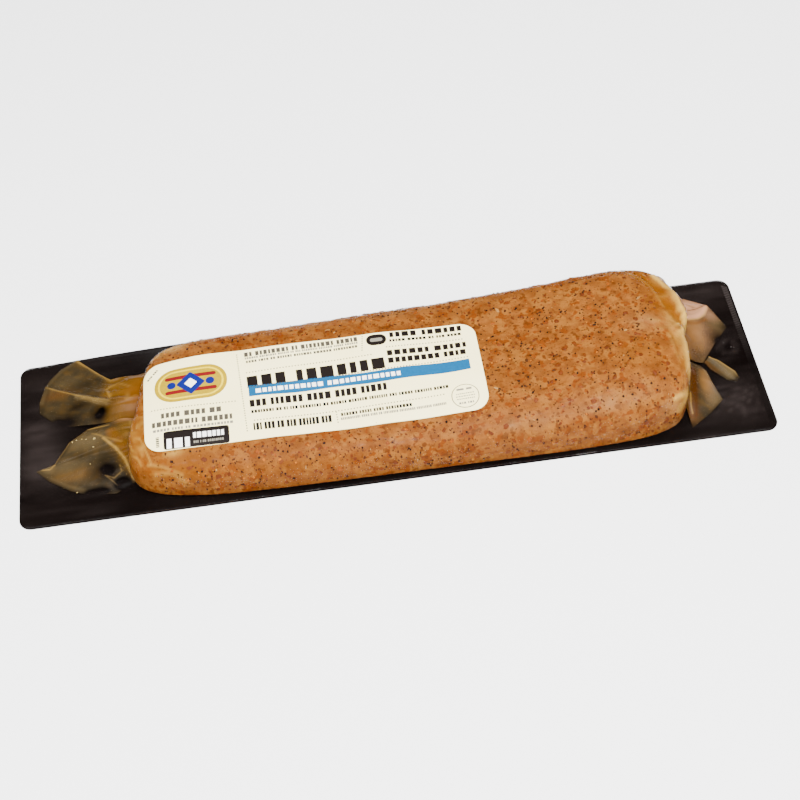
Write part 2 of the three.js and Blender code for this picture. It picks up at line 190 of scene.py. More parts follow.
# Where seasoning lies: its limits along the fillet, how far up the side it starts, and how far it goes
# under the label's edge
SEASONED = {"from": -121, "to": 137, "lean": 0.13, "about": -10, "lowest": 0.12, "under_label": 2}
TRIES = 8  # places drawn for each bit that is wanted
RINGS_FREE = 2  # rings without bits at each end
CLUMP_MEAN = 0.5
CLUMP_RANGE = (0.4, 0.8)
SHORT_POWER = 2  # makes short bits more common than long ones
BIT_ROUGHNESS = (0.65, 1.2)
BIT_SLIMNESS = (0.7, 1.3)
# Seasoning: name, count, length, width and height as shares of it, how far it stands up, colours, how
# much it clumps, and its seed
SEASONING = [
    {"name": "pepper_bits", "count": 1700, "length": (0.5, 1.5), "shape": (0.8, 0.55), "rise": 0.3,
     "colours": [(0.002, 0.001, 0.0008), (0.006, 0.003, 0.001), (0.016, 0.005, 0.0015)],
     "clump": 0.75, "seed": 11},
    {"name": "chili_flakes", "count": 900, "length": (0.9, 3.8), "shape": (0.7, 0.2), "rise": 0.15,
     "colours": [(0.075, 0.015, 0.001), (0.11, 0.023, 0.001), (0.06, 0.013, 0.001), (0.17, 0.038, 0.001)],
     "clump": 0.65, "seed": 12},
    {"name": "brown_flakes", "count": 560, "length": (0.9, 2.6), "shape": (0.55, 0.25), "rise": 0.15,
     "colours": [(0.045, 0.012, 0.002), (0.03, 0.009, 0.0018), (0.06, 0.016, 0.002)],
     "clump": 0.6, "seed": 13},
    {"name": "garlic_bits", "count": 34, "length": (1.0, 4.0), "shape": (0.5, 0.2), "rise": 0.1,
     "colours": [(0.24, 0.125, 0.035), (0.19, 0.085, 0.022)], "clump": 0.1, "seed": 14},
    {"name": "mustard_bits", "count": 330, "length": (0.6, 1.8), "shape": (0.85, 0.5), "rise": 0.25,
     "colours": [(0.28, 0.075, 0.003), (0.22, 0.075, 0.008)], "clump": 0.4, "seed": 15},
]

# Paper label, and print in its own two directions from its middle
LABEL_LENGTH = 171
LABEL_WIDTH = 58
LABEL_CORNER = 8.5
LABEL_THICKNESS = 0.3
LABEL_CENTRE = (-38.8, -3.8)
LABEL_TURN = -0.7
LABEL_STEP = 1.5
LABEL_WAVE = {"height": 0.45, "size": 17, "apart": 30, "seed": 51, "from": 10, "ends": (2, 12)}
PRINT_SINK = 0.02
PRINT_RISE = 0.035
PRINT_STEP = 2.5
PRINT_SEED = 52
SHAPE_STEP = 1.6
BLOCK_WIDTHS = (0.45, 0.95)
BLOCK_GAP = 0.28
GROUP_GAP = 0.8
RAISED_INKS = ("white", "pale_grey")
INKS = {
    "black": (0.0055, 0.0035, 0.0028),
    "grey": (0.05, 0.043, 0.032),
    "pale_grey": (0.17, 0.155, 0.12),
    "blue": (0.0015, 0.068, 0.165),
    "white": (0.93, 0.91, 0.85),
    "yellow": (0.29, 0.192, 0.0001),
    "light_yellow": (0.6, 0.43, 0.001),
    "red": (0.12, 0.0045, 0.005),
    "deep_blue": (0.005, 0.009, 0.105),
}
# Rows of plain blocks: ink, where the row starts and ends, height, and blocks in each group
BLOCK_ROWS = [
    ("black", (-32.9, 6.4), (37, 8.6), 7.0, (3, 7)),
    ("white", (-29, 0.2), (44.2, 0.7), 2.6, (12, 13)),
    ("black", (-32.5, -7.4), (36.2, -6.4), 4.4, (3, 6, 4, 4, 5)),
    ("black", (-32.1, -12.6), (66.6, -12.0), 1.9, (8, 2, 2, 3, 8, 2, 6, 7, 8, 3, 5, 7, 5)),
    ("grey", (-33.2, 25.1), (25, 26.6), 3.1, (2, 8, 2, 8, 5)),
    ("pale_grey", (-33, 22.4), (25, 24.0), 1.3, (6, 8, 6, 2, 3, 8, 7, 5, 6)),
    ("grey", (-32.5, 19.9), (24.5, 21.6), 1.6, (4, 4, 2, 6, 7, 6, 9)),
    ("black", (41.7, 26.6), (78.7, 26.2), 3.5, (4, 6)),
    ("black", (41.2, 22.6), (78, 22.2), 1.7, (5, 5, 2, 3, 4)),
    ("black", (39, 14.5), (79.5, 14.5), 3.5, (6, 5)),
    ("black", (39, 9.5), (78.6, 9.5), 3.5, (8, 4)),
    ("grey", (-76.9, -7.9), (-46.9, -8.3), 3.3, (4, 4, 2)),
    ("grey", (-81.6, -13.1), (-41.7, -13.7), 3.3, (9, 6)),
    ("pale_grey", (-81.2, -17.0), (-41.5, -17.3), 1.5, (5, 4, 2, 12)),
    ("white", (-74.7, -25.6), (-63.4, -25.9), 5.4, (3,)),
    ("white", (-61.5, -22.6), (-46.4, -22.8), 3.2, (7,)),
    ("pale_grey", (-61.5, -26.5), (-46.8, -26.6), 1.3, (3, 1, 2, 8)),
    ("black", (-31.7, -21.9), (6.9, -21.5), 4.3, (3, 3, 2, 3, 6, 3)),
    ("black", (11.8, -20.0), (47.2, -19.8), 1.9, (6, 5, 4, 9)),
    ("pale_grey", (11.5, -22.6), (64.1, -22.3), 1.5, (11, 4, 4, 2, 9, 9, 9, 8)),
    ("grey", (-79.2, -26.6), (-79.2, -20.9), 1.6, (6,)),
    ("grey", (-83.2, 18.5), (-78, 24.6), 1.1, (3, 3)),
    ("pale_grey", (70.2, -15.4), (77.8, -15.4), 1.2, (2,)),
    ("pale_grey", (69.6, -18.2), (78.6, -18.2), 0.6, (9,)),
    ("pale_grey", (69.3, -19.8), (78.9, -19.8), 0.6, (8,)),
    ("pale_grey", (69.6, -21.4), (78.6, -21.4), 0.6, (9,)),
    ("pale_grey", (70.4, -23.9), (77.8, -23.9), 1.2, (3, 3)),
]
DOTTED_LINES = [  # from, to
    ((-37, 26), (-34.9, -23.8)),
    ((-81.8, -3.2), (-39.9, -4.6)),
    ((-33, 12.6), (31, 14.8)),
    ((-33, 3.1), (79, 5.6)),
    ((39, 18.6), (79, 18.4)),
    ((-31.2, -18.1), (64.6, -16.6)),
    ((27.8, 28), (26.7, 18.6)),
    ((9.6, -17.8), (9.9, -25.3)),
]
DOT_PITCH = 1.55
DOT_SIZE = 0.62
# Plain shapes: name, ink, middle, size, corner, turn and layer
PLAQUE = (-61.2, 11)
SHAPES = [
    ("plaque", "yellow", PLAQUE, (37, 22), 10.5, 0, 0),
    ("plaque_line", "light_yellow", PLAQUE, (33.5, 18.6), 9, 0, 0.4),
    ("plaque_field", "yellow", PLAQUE, (31.5, 16.6), 8, 0, 0.8),
    ("plaque_bar_far", "red", (-61.2, 15.6), (26, 2.2), 1, 0, 1.2),
    ("plaque_bar_near", "red", (-61.2, 6.4), (26, 2.2), 1, 0, 1.2),
    ("plaque_diamond", "deep_blue", PLAQUE, (10.5, 10.5), 0.8, 45, 1.6),
    ("plaque_diamond_middle", "white", PLAQUE, (4.6, 4.6), 0.5, 45, 2),
    ("plaque_mark_left", "deep_blue", (-71, 11), (4.4, 4.4), 2.1, 0, 1.2),
    ("plaque_mark_right", "deep_blue", (-51.4, 11), (4.4, 4.4), 2.1, 0, 1.2),
    ("black_panel", "black", (-60, -23.8), (32.4, 10.4), 1.3, -1, 0),
    ("dark_oval", "black", (34.6, 24.3), (10.4, 7.4), 3.6, 0, 0),
    ("dark_oval_bar", "pale_grey", (34.6, 24.3), (6.4, 2.4), 1.1, 0, 0.5),
    ("ring", "grey", (74.1, -19.6), (13.8, 14.6), 6.85, 0, 0),
    ("ring_middle", "paper", (74.1, -19.6), (13.0, 13.8), 6.45, 0, 0.5),
]
BLUE_BAND = {
    "from": -32.5, "to": 79.5, "near": (-3.2, -2.8), "far": (3.9, 4.3), "wave": 0.35,
    "near_wave": 6.3, "far_wave": 7.1, "far_shift": 1, "columns": 76, "rows": 6,
}

# Film ears: root and neck lines with their heights, and the folds that fan out from the neck. A fold
# gives how far along the neck it starts, its tip, the height of its crest and its tip's lift. ends are the
# shares of the neck's height that are left at its two ends, and sag is how far the film sinks between
# crests. lines and areas give a tint of the film, its strength, and its width and line or its place and
# radii; the cream tint is painted highlight along the folds. depth is that of the pleats.
EARS = {
    "film_ear_left_near": {
        "root": ((-118, -33), (-114, 3.4), 12.4),
        "neck": ((-132, -33), (-138, 3.2), 6.7),
        "ends": (0.1, 0.5),
        "sag": 0.12,
        "folds": [
            (0, (-142.1, -38), 0.4, 0),
            (0.1, (-155.4, -37.1), 0.9, 0),
            (0.25, (-164.9, -33), 1.4, 0),
            (0.4, (-175.6, -25.3), 1.8, 0),
            (0.55, (-182, -18), 2.2, 0),
            (0.68, (-172.5, -16.5), 2.4, 1.6),
            (0.85, (-164.8, -5), 3.6, 3.4),
            (1, (-155.9, 2), 4, 3),
        ],
        "lines": [
            ("cream_highlight", 0.5, 0.7, [(-147, -7), (-141, -14.5), (-136.8, -22), (-133.2, -32)]),
            ("cream_highlight", 0.2, 0.5, [(-152.8, -2.5), (-144.1, -8.2), (-137.6, -11.9)]),
            ("cream_highlight", 0.3, 0.5, [(-132.5, 0), (-131.5, -6), (-130, -13)]),
            ("cream_highlight", 0.25, 0.4, [(-128.5, 0), (-127.5, -7), (-126, -13)]),
            ("cream_highlight", 0.45, 0.3, [
                (-143.9, 0.8), (-156, 1.9), (-164.8, -5.1), (-168.7, -11), (-172.6, -16.6),
            ]),
            ("cream_highlight", 0.4, 0.3, [(-172.4, -16.4), (-175, -18.5), (-179, -18)]),
            ("cream_highlight", 0.3, 0.22, [(-139.4, -24.4), (-138.7, -28), (-142.7, -30.7), (-147.2, -28.3)]),
            ("cream_highlight", 0.25, 0.22, [(-147.2, -28.3), (-144.3, -31.3), (-141.5, -34.2)]),
            ("olive", 0.5, 1.2, [(-181, -18), (-176, -22.6), (-166, -30.4), (-158, -34)]),
            ("amber", 0.4, 2.6, [(-143, -5), (-137.5, -13), (-134, -23)]),
        ],
        "areas": [
            ("dense", 0.8, (-140, -6), (8, 8)),
            ("pink", 0.35, (-133, 2.5), (6, 2.5)),
            ("olive", 0.7, (-156, -6), (10, 6)),
            ("olive", 0.5, (-166, -20), (9, 5)),
            ("dense", 0.62, (-164, -24), (14, 6)),
            ("olive", 0.25, (-164, -24), (14, 6)),
            ("olive", 0.7, (-176, -19), (5, 3)),
            ("amber", 0.12, (-161, -25), (12, 4)),
            ("clear", 1.15, (-146, -26), (8.5, 8)),
            ("clear", 0.4, (-160, -14), (8, 3)),
            ("clear", 0.7, (-182, -17.5), (4, 3)),
            ("clear", 1.2, (-152, -36), (13, 4)),
            ("clear", 1.3, (-138.5, -34), (8, 6)),
        ],
        "pleats": 34,
        "depth": 0.24,
        "seed": 31,
    },
    "film_ear_left_far": {
        "root": ((-118, 4), (-114, 34), 12.4),
        "neck": ((-143.8, 4.3), (-141.9, 29.1), 8.6),
        "ends": (0.5, 0.5),
        "sag": 0.55,
        "folds": [
            (0, (-170.1, 8.9), 0.4, 0),
            (0.1, (-180.3, 19.4), 0.6, 0),
            (0.2, (-180.3, 26.5), 0.8, 0),
            (0.34, (-177.3, 36.2), 3.8, 0.6),
            (0.6, (-174.4, 41.6), 1.4, 0),
            (0.82, (-168.9, 47.2), 1, 0),
            (1, (-160.4, 50.9), 3.8, 0.8),
        ],
        "lines": [
            ("cream_highlight", 0.4, 0.8, [(-160.3, 50.2), (-154.1, 43.6), (-148, 36.5), (-142, 29.4)]),
            ("cream_highlight", 0.3, 0.45, [(-177.3, 36.2), (-166, 28.4), (-155, 20.7), (-143.2, 12.6)]),
            ("cream_highlight", 0.35, 1.0, [(-157, 22), (-150, 17.2), (-144.2, 13.2)]),
            ("olive", 0.8, 1.7, [(-160, 24.2), (-152, 18.7), (-144, 13.1)]),
            ("olive", 0.6, 1.8, [(-160.4, 50.9), (-168.9, 46.8), (-174, 41), (-177, 35.9), (-179.7, 26.5)]),
            ("cream_highlight", 0.3, 0.6, [(-144.6, 22.6), (-140.6, 24.5)]),
            ("cream_highlight", 0.3, 0.5, [(-143.8, 21), (-142.6, 16), (-142.4, 11.6)]),
            ("cream_highlight", 0.2, 0.5, [(-138.3, 25.8), (-131.6, 21.3), (-134.2, 12.5), (-128.5, 14.8)]),
        ],
        "areas": [
            ("dense", 1.1, (-132, 17), (12, 15)),
            ("amber", 0.9, (-126, 13), (10, 14)),
            ("amber", 0.25, (-171, 29), (9, 3)),
            ("olive", 0.3, (-166, 36), (9, 6)),
            ("clear", 0.5, (-157, 32), (10, 4.5)),
            ("clear", 1.15, (-148, 9.5), (7, 5.5)),
            ("clear", 0.6, (-157, 9), (8, 5)),
            ("clear", 1.2, (-170, 10), (14, 7)),
            ("clear", 0.85, (-160, 17.5), (9, 4)),
        ],
        "pleats": 6,
        "depth": 0.25,
        "seed": 32,
    },
    "film_ear_right_far": {
        "root": ((138, 34), (138, -4.8), 16.2),
        "neck": ((157, 35), (155.5, -4.8), 8.1),
        "ends": (0.5, 0.5),
        "sag": 0.4,
        "folds": [
            (0, (162.8, 37.1), 2.9, 4.4),
            (0.15, (174, 30.6), 4.6, 4),
            (0.5, (181.7, 17.7), 1.4, 0),
            (0.8, (173.3, 8.5), 1.1, 0),
            (1, (163.3, -4.5), 1, 0),
        ],
        "lines": [
            ("pink", 1.0, 1.7, [(172.6, 29.6), (170, 26), (166, 23.4), (160, 21.3)]),
            ("pink", 0.8, 4.6, [(157, 28), (163, 27.2), (168, 28.2)]),
            ("cream_highlight", 0.45, 0.5, [(173.2, 29.6), (171, 25.2), (166.5, 21.9), (160, 19.9)]),
            ("olive", 0.6, 1.0, [(174, 30.6), (177.5, 25)]),
            ("deep", 0.8, 0.35, [(161.5, 26), (167, 27.8), (172.5, 30.6)]),
            ("deep", 0.6, 0.3, [(160.5, 30), (165, 28.6), (168, 28.2)]),
            ("amber", 0.5, 1.0, [(171, 22), (165, 18.5), (159, 17.5)]),
        ],
        "areas": [
            ("pink", 1.0, (162, 31), (12, 5)),
            ("dense", 1.1, (161, 13), (8, 13)),
            ("pink", 0.28, (164, 13), (9, 12)),
            ("pink", 0.35, (174.5, 24.5), (5, 4)),
            ("olive", 0.8, (177.5, 20), (5, 5)),
            ("amber", 0.4, (157, 6), (4, 12)),
            ("clear", 1.1, (176, 9), (7, 9)),
            ("clear", 1.0, (183.5, 17), (10, 10)),
            ("clear", 0.5, (169, 1), (4, 5)),
        ],
        "pleats": 9,
        "depth": 0.2,
        "seed": 33,
    },
    "film_ear_right_near": {
        "root": ((136, -4.2), (132, -33), 15.2),
        "neck": ((153.5, -4.2), (147, -33), 7.6),
        "ends": (0.5, 0.1),
        "sag": 0.2,
        "folds": [
            (0, (160.8, -9.5), 1.9, 3.4),
            (0.12, (162.2, -13.5), 1.9, 4),
            (0.33, (163.3, -20.1), 1.5, 3.4),
            (0.62, (166.8, -30.1), 1.1, 0.4),
            (0.85, (158.7, -37.3), 1, 0),
            (1, (147.4, -45.1), 0.5, 0),
        ],
        "lines": [
            ("deep", 0.95, 1.9, [(154.8, -13), (153.6, -20), (152, -27)]),
            ("deep", 0.8, 1.3, [(153.8, -24), (152.2, -31), (150.8, -38)]),
            ("olive", 0.6, 0.7, [(161.3, -12.5), (163.3, -20.1), (166.6, -30)]),
            ("cream_highlight", 0.35, 0.4, [(149.8, -28), (149.2, -33), (149.2, -37)]),
        ],
        "areas": [
            ("deep", 0.75, (152, -18), (3.5, 8)),
            ("deep", 0.6, (150.5, -33), (3, 8)),
            ("amber", 0.4, (148.5, -36), (3, 7)),
            ("dense", 0.85, (160, -20), (5, 10)),
            ("pink", 0.13, (160.5, -21), (4, 10)),
            ("olive", 0.6, (163, -29), (5, 6)),
            ("clear", 0.95, (159, -41), (7, 5)),
            ("clear", 0.5, (167, -32), (3.5, 3.5)),
            ("clear", 0.9, (148, -45), (4, 4)),
        ],
        "pleats": 9,
        "depth": 0.15,
        "seed": 34,
    },
}
# Tints of folded film; cream is painted highlight along its folds
EAR_TINTS = ("cream_highlight", "amber", "dense", "clear", "pink", "deep", "olive")
EAR_FILM = 0.7
EAR_SHEET = 0.35
EAR_BETWEEN = 22
EAR_IN = 14
EAR_OUT = 56
NECK_FALL = 1.7  # powers by which the neck's height and the crests fall towards the tips
CREST_FALL = 0.6
CREST_LOST = (0.8, 0.5)  # share of a crest that is lost inwards of the neck, and by where
EAR_POWER = 4  # of the waist, and of how pleats and facets fade towards the tips
EAR_FAN = {"bend": 0.04, "along": 5, "across": 4}
EAR_PLEATS = {"along": 1.3, "least": 0.03}
EAR_FACETS = {"size": 6, "seed": 5, "height": (0.15, 0.75)}
EAR_STREAKS = {"across": 34, "along": 2.5, "seed": 4}
EAR_LOOSE = (0.7, 3.5)  # heights between which the film comes loose from the board
EAR_LOWEST = 0.55
EAR_CLEAR = {"least": 0.1, "tips": 0.55, "from": 0.88}
EAR_DENSE = {"neck": 0.85, "out": 0.38, "by": 0.25}
AMBER_HIDES = 0.6  # how far amber film keeps from looking clear, beside cream film
STRIP = {"from": (165.2, -3.1), "to": (178, -18.4), "width": 7, "height": (0.7, 2.1), "grid": (60, 24)}
STRIP_TAPER = {"start": (0.6, 0.3), "from": 0.75, "width": 0.45, "height": 0.45}
STRIP_WAVE = {"height": 0.25, "over": 9, "along": 3, "fade": 0.5}
STRIP_STREAKS = {"along": 3, "over": 9, "seed": 71}
STRIP_MOST = 0.95  # the most that any tint of the strip comes to
# How the strip's tints come in and fade along it and over its width; its cream is painted highlight along
# its higher edge
STRIP_CREAM_HIGHLIGHT = {"most": 0.35, "over": (0.8, 0.95), "fade": 0.6}
STRIP_DENSE = (0.3, 0.55)
STRIP_AMBER = {"most": 0.3, "over": (0.1, 0.6), "along": (0.2, 0.7)}
STRIP_CLEAR = {"least": 0.1, "tip": 0.9, "along": (0.7, 1), "edge": 0.4, "over": (0, 0.3)}
STRIP_OLIVE = {"most": 0.85, "share": 0.8, "range": (0.3, 1.2)}
# Bright specks on the near left ear: place and length
SPECKS = [
    (-163, -5.3, 1.1), (-160.8, -4.6, 1), (-158.1, -4.7, 1), (-155.9, -5.3, 0.8), (-151.6, -6.3, 2),
    (-154.4, -20.3, 0.9), (-152.4, -10.9, 1.2), (-161.7, -34.5, 1.1),
]
SPECK_SHAPE = (0.8, 0.45)
SPECK_RISE = 0.3
SPECK_SEED = 72

# Random relief in layers: stretch along x and y, size of the lumps, seed and height
RELIEF = {
    "meat": [((1, 1), 7, 1, 0.26), ((1, 1), 3.2, 2, 0.17), ((1, 1), 1.7, 3, 0.06)],
    "pale_glare_cloud": [((1, 1), 5, 4, 0.5), ((1, 1), 2.1, 7, 0.4)],
    "skin": [((3, 1), 2.6, 6, 0.1)],
    "grey_sheen_cloud": [((5, 1), 2.6, 41, 0.5)],
    "grey_sheen_streaks": [((8, 1), 2.4, 42, 0.3)],
    "board_film": [((9, 1), 2.4, 42, 0.11), ((3, 2), 3, 43, 0.06)],
    "bubble": [((1, 1), 2.2, 44, 0.25)],
    "swirl": [((1, 1), 9, 45, 1.5)],
    "rib_sheen": [((1, 1), 7, 46, 12)],
    "clumps": [((1, 1), 7, 61, 0.4)],
    "own_clumps": [((1, 1), 4, 50, 0.4)],
    "ear": [((1, 1), 2.6, 1, 0.06), ((1, 1), 7, 2, 0.25)],
    "ear_clear": [((1, 1), 3, 3, 0.08)],
}
LATTICE = 61  # random values along each side of the table that relief is read from
LATTICE_SHIFT = 1000
FACET_SLANT = (0.4, 0.3)
WIDE_BAND = 1.5

# Materials: roughness and specular level. A noise gives its size and detail, then its stretch and shift
# where it has them. Bumps give their noise and depth.
FINISHES = {
    "meat": (0.55, 0.03), "spice": (0.55, 0.08), "folded_film": (0.4, 0.06), "board": (0.4, 0.02),
    "paper": (0.5, 0.1), "ink": (0.5, 0.08), "specks": (0.3, 0.2), "floor": (0.7, 0.1),
}
BUMPS = {
    "meat": ((2.2, 4.0), 0.5),
    "folded_film": ((2.6, 2.0), 0.15),
    "board": ((9, 3.0, (4, 1, 1)), 0.2),
    "paper": ((0.8, 3.0), 0.02),
    "board_film": ((4, 3.0), 0.1),
    "clear_film": ((2.4, 3.0), 0.14),
}
# Colours by place in a noise
CLOUDS = {
    "meat": ((7, 3.0), [
        (0.38, (0.104, 0.0308, 0.0046)), (0.5, (0.127, 0.0405, 0.0066)), (0.62, (0.155, 0.0525, 0.0088)),
    ]),
    "board": ((26, 4.0, (3, 1, 1)), [(0.35, (0.0012, 0.0006, 0.0005)), (0.7, (0.0035, 0.0023, 0.002))]),
    "paper": ((24, 3.0), [(0.3, (0.95, 0.83, 0.4)), (0.7, (0.97, 0.87, 0.46))]),
    "floor": ((900, 2.0), [(0.3, (0.88, 0.88, 0.88)), (0.7, (0.92, 0.92, 0.92))]),
    "film_specks": ((0.6, 2.0), [(0.3, (0.12, 0.08, 0.02)), (0.7, (0.27, 0.2, 0.08))]),
    "bubble_glints": ((0.6, 2.0), [(0.3, (0.05, 0.044, 0.042)), (0.7, (0.12, 0.11, 0.105))]),
}
# Patches in the meat, from milky to dust: noise, the range in which they come in, the least and the most,
# and their colour
MEAT_PATCHES = [
    ((7.5, 2.5, (1, 1, 1), 7.0), (0.53, 0.62, 0, 0.75), (0.175, 0.065, 0.0108)),
    ((4.6, 2.0, (1, 1, 1), 5.0), (0.58, 0.63, 0, 0.85), (0.103, 0.0215, 0.0013)),
    ((3.2, 1.8, (1, 1, 1), 3.0), (0.6, 0.66, 0, 0.8), (0.06, 0.0155, 0.002)),
    ((1.5, 2.0, (1, 1, 1), 11.0), (0.62, 0.68, 0, 0.5), (0.068, 0.0148, 0.0016)),
    ((0.8, 1.0, (1, 1, 1), 17.0), (0.66, 0.7, 0, 0.35), (0.012, 0.004, 0.0015)),
]
# Tints of the meat's film: pale is painted glare, cream painted highlight on its folds, amber the film's
# own tint
MEAT_TINTS = {"pale_glare": (0.215, 0.105, 0.035), "amber": (0.115, 0.034, 0.001), "cream_highlight": (0.38, 0.22, 0.04)}
# Painted sheen of the film, blended into the board's colour where its points carry grey
BOARD_SHEEN_TINTS = {"grey": (0.0125, 0.0093, 0.0085)}
# How noise darkens and lightens a colour: the noise, its range, then the least and the most
MOTTLES = {
    "fibres": ((1.2, 3.0, (5, 1, 1), 9.0), (0.35, 0.65, 0.94, 1.05)),
    "grain": ((0.5, 2.0), (0.35, 0.7, 0.7, 1.15)),
    "wear": ((1.2, 3.0), (0.3, 0.7, 0.9, 1.08)),
}
# Folded film, from thin to deep, and its tints; cream is painted highlight on its folds
FILM_COLOURS = [
    (0.0, (0.006, 0.0045, 0.0026)),
    (0.35, (0.02, 0.0135, 0.0058)),
    (0.75, (0.056, 0.027, 0.004)),
    (1.0, (0.078, 0.034, 0.003)),
]
FILM_TINTS = {
    "olive": (0.062, 0.042, 0.0175),
    "pink": (0.3, 0.145, 0.075),
    "amber": (0.085, 0.026, 0.001),
    "deep": (0.034, 0.0098, 0.0006),
    "cream_highlight": (0.27, 0.155, 0.035),
}
FILM_CLOUD = ((5, 3.0), (0.3, 0.7, -0.1, 0.1))
FILM_STREAKS = (-1, 1, -0.05, 0.05)
FOLDED_CLEAR = {"roughness": 0.2, "index": 1.04, "shine": (0.2, 0.9, 0.04, 1.3)}
# Seal ribs, from dark to the light of their painted sheen
RIB_SHEEN_COLOURS = [(0.0, (0.0025, 0.0017, 0.0015)), (1.0, (0.036, 0.029, 0.027))]
# Clear film: index, roughness and how bright its streaks are. Then their noise, its range and the least.
CLEAR_FILMS = {"board_film": (1.08, 0.2, 1.6), "clear_film": (1.05, 0.25, 7.0)}
CLEAR_STREAKS = ((2.0, 3.0, (4, 1, 1), 21.0), (0.58, 0.74, 0.4))


def mix(a, b, t):
    return a + (b - a) * t


def smoothstep(t, low, high):
    t = np.clip((t - low) / (high - low), 0, 1)
    return t * t * (3 - 2 * t)


def superellipse(t, power):
    return np.maximum(0, 1 - np.minimum(1, np.abs(t)) ** power) ** (1 / power)


def lattice(u, v, seed):
    """Random values from -1 to 1 at the corners of each place's square, and its place in the square."""
    u, v = u + LATTICE_SHIFT, v + LATTICE_SHIFT
    table = np.random.default_rng(seed).uniform(-1, 1, (LATTICE, LATTICE))
    i, j = np.floor(u).astype(int), np.floor(v).astype(int)
    steps = ((0, 0), (1, 0), (0, 1), (1, 1))
    corners = [table[(i + di) % LATTICE, (j + dj) % LATTICE] for di, dj in steps]
    return corners, u - i, v - j


def waves(x, y, size, seed):
    """Smooth random relief from -1 to 1, with lumps about size across."""
    (a, b, c, d), u, v = lattice(x / size, y / size, seed)
    u, v = u * u * (3 - 2 * u), v * v * (3 - 2 * v)
    return mix(mix(a, b, u), mix(c, d, u), v)


def relief(name, x, y, seed=0):
    """Smooth relief in the layers of that name. A seed given here is added to each layer's."""
    layers = RELIEF[name]
    return sum(waves(x / sx, y / sy, size, seed + more) * height for (sx, sy), size, more, height in layers)


def facets(x, y, size, seed):
    """Random relief from -1 to 1 like crumpled film, made of flat triangles about size across."""
    along, across = x + FACET_SLANT[0] * y, y - FACET_SLANT[1] * x
    (a, b, c, d), u, v = lattice(along / size, across / size, seed)
    return np.where(u + v < 1, a + u * (b - a) + v * (c - a), d + (1 - u) * (c - d) + (1 - v) * (b - d))


def from_line(x, y, line):
    """How far each place lies from a line through several points."""
    best = np.full(np.shape(x), np.inf)
    for (ax, ay), (bx, by) in zip(line, line[1:]):
        dx, dy = bx - ax, by - ay
        along = np.clip(((x - ax) * dx + (y - ay) * dy) / (dx * dx + dy * dy), 0, 1)
        best = np.minimum(best, np.hypot(x - ax - along * dx, y - ay - along * dy))
    return best


def band(x, y, line, width):
    """1 on a line, and 0 away from it. A wide band has a flat middle and sharper edges."""
    return np.exp(-((from_line(x, y, line) / width) ** (4 if width > WIDE_BAND else 2)))


def blob(x, y, at, radii):
    return np.exp(-(((x - at[0]) / radii[0]) ** 2) - ((y - at[1]) / radii[1]) ** 2)


def strongest(x, y, areas, value=0.0):
    """A value at each place, raised where one of the areas is stronger."""
    for strength, at, radii in areas:
        value = np.maximum(value, strength * blob(x, y, at, radii))
    return value


# Meshes


def piece(name, points, faces, material, slot, replaces=(), smooth=True, **values):
    """A shown piece that rides on the pack, from points in millimetres. values are kept on its points."""
    mesh = bpy.data.meshes.new(name)
    mesh.from_pydata((np.asarray(points, float).reshape(-1, 3) * MM).tolist(), [], faces)
    mesh.validate()
    for key, numbers in values.items():
        layer = mesh.attributes.new(key, "FLOAT", "POINT")
        layer.data.foreach_set("value", np.asarray(numbers, np.float32).ravel())
    mesh.polygons.foreach_set("use_smooth", [smooth] * len(mesh.polygons))
    mesh.materials.append(material)
    made = bpy.data.objects.new(name, mesh)
    bpy.context.scene.collection.objects.link(made)
    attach(made, "root")
    if replaces:
        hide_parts(*replaces)


def grid_faces(columns, rows, wrap_rows=False, start=0):
    """Faces over a grid of points whose rows turn anticlockwise from its columns as seen from above."""
    i, j = np.meshgrid(np.arange(columns - 1), np.arange(rows if wrap_rows else rows - 1), indexing="ij")
    after = (j + 1) % rows
    corners = [i * rows + j, (i + 1) * rows + j, (i + 1) * rows + after, i * rows + after]
    return (np.stack(corners, -1).reshape(-1, 4) + start).tolist()


def slab(low, high):
    """Points and faces of a closed sheet between two grids of points."""
    columns, rows = high.shape[:2]
    count = columns * rows
    index = np.arange(count).reshape(columns, rows)
    faces = grid_faces(columns, rows)
    faces += [face[::-1] for face in grid_faces(columns, rows, start=count)]
    for edge in (index[:, 0], index[-1, :], index[::-1, -1], index[0, ::-1]):
        faces += [[b, a, a + count, b + count] for a, b in zip(edge.tolist(), edge.tolist()[1:])]
    return np.concatenate([high.reshape(-1, 3), low.reshape(-1, 3)]), faces


def together(solids):
    """Points and faces of several solids in one mesh."""
    points, faces, start = [], [], 0
    for some_points, some_faces in solids:
        points.append(some_points)
        faces += [[corner + start for corner in face] for face in some_faces]
        start += len(some_points)
    return np.concatenate(points), faces


def stations(length, corner, step):
    """Places along a length with round corners, closer together in the corners."""
    inner = length / 2 - corner
    arc = inner + corner * np.sin(np.linspace(0, math.pi / 2, CORNER_STEPS))
    middle = np.linspace(-inner, inner, max(2, round(2 * inner / step) + 1))
    return np.concatenate([-arc[:0:-1], middle, arc[1:]])


def half_width(along, length, width, corner):
    past = np.maximum(0, np.abs(along) - (length / 2 - corner))
    return width / 2 - corner + np.sqrt(np.maximum(0, corner**2 - past**2))


def rounded_grid(length, width, corner, step):
    """A grid of places that fills a rectangle with round corners."""
    along = stations(length, corner, step)[:, None]
    rows = max(3, round(width / step) + 1)
    across = np.linspace(-1, 1, rows)[None, :] * half_width(along, length, width, corner)
    return np.broadcast_to(along, across.shape), across


# Shapes of the board and the fillet


def curl(x, y):
    along = np.maximum(0, 1 - ((x - CURL_AT) / CURL_REACH) ** 2)
    across = np.clip((y - (BOARD_WIDTH / 2 - CURL_DEPTH)) / CURL_DEPTH, 0, 1)
    return CURL_HEIGHT * along * across**2


def board_top(x, y):
    return BOARD_THICKNESS + curl(x, y)


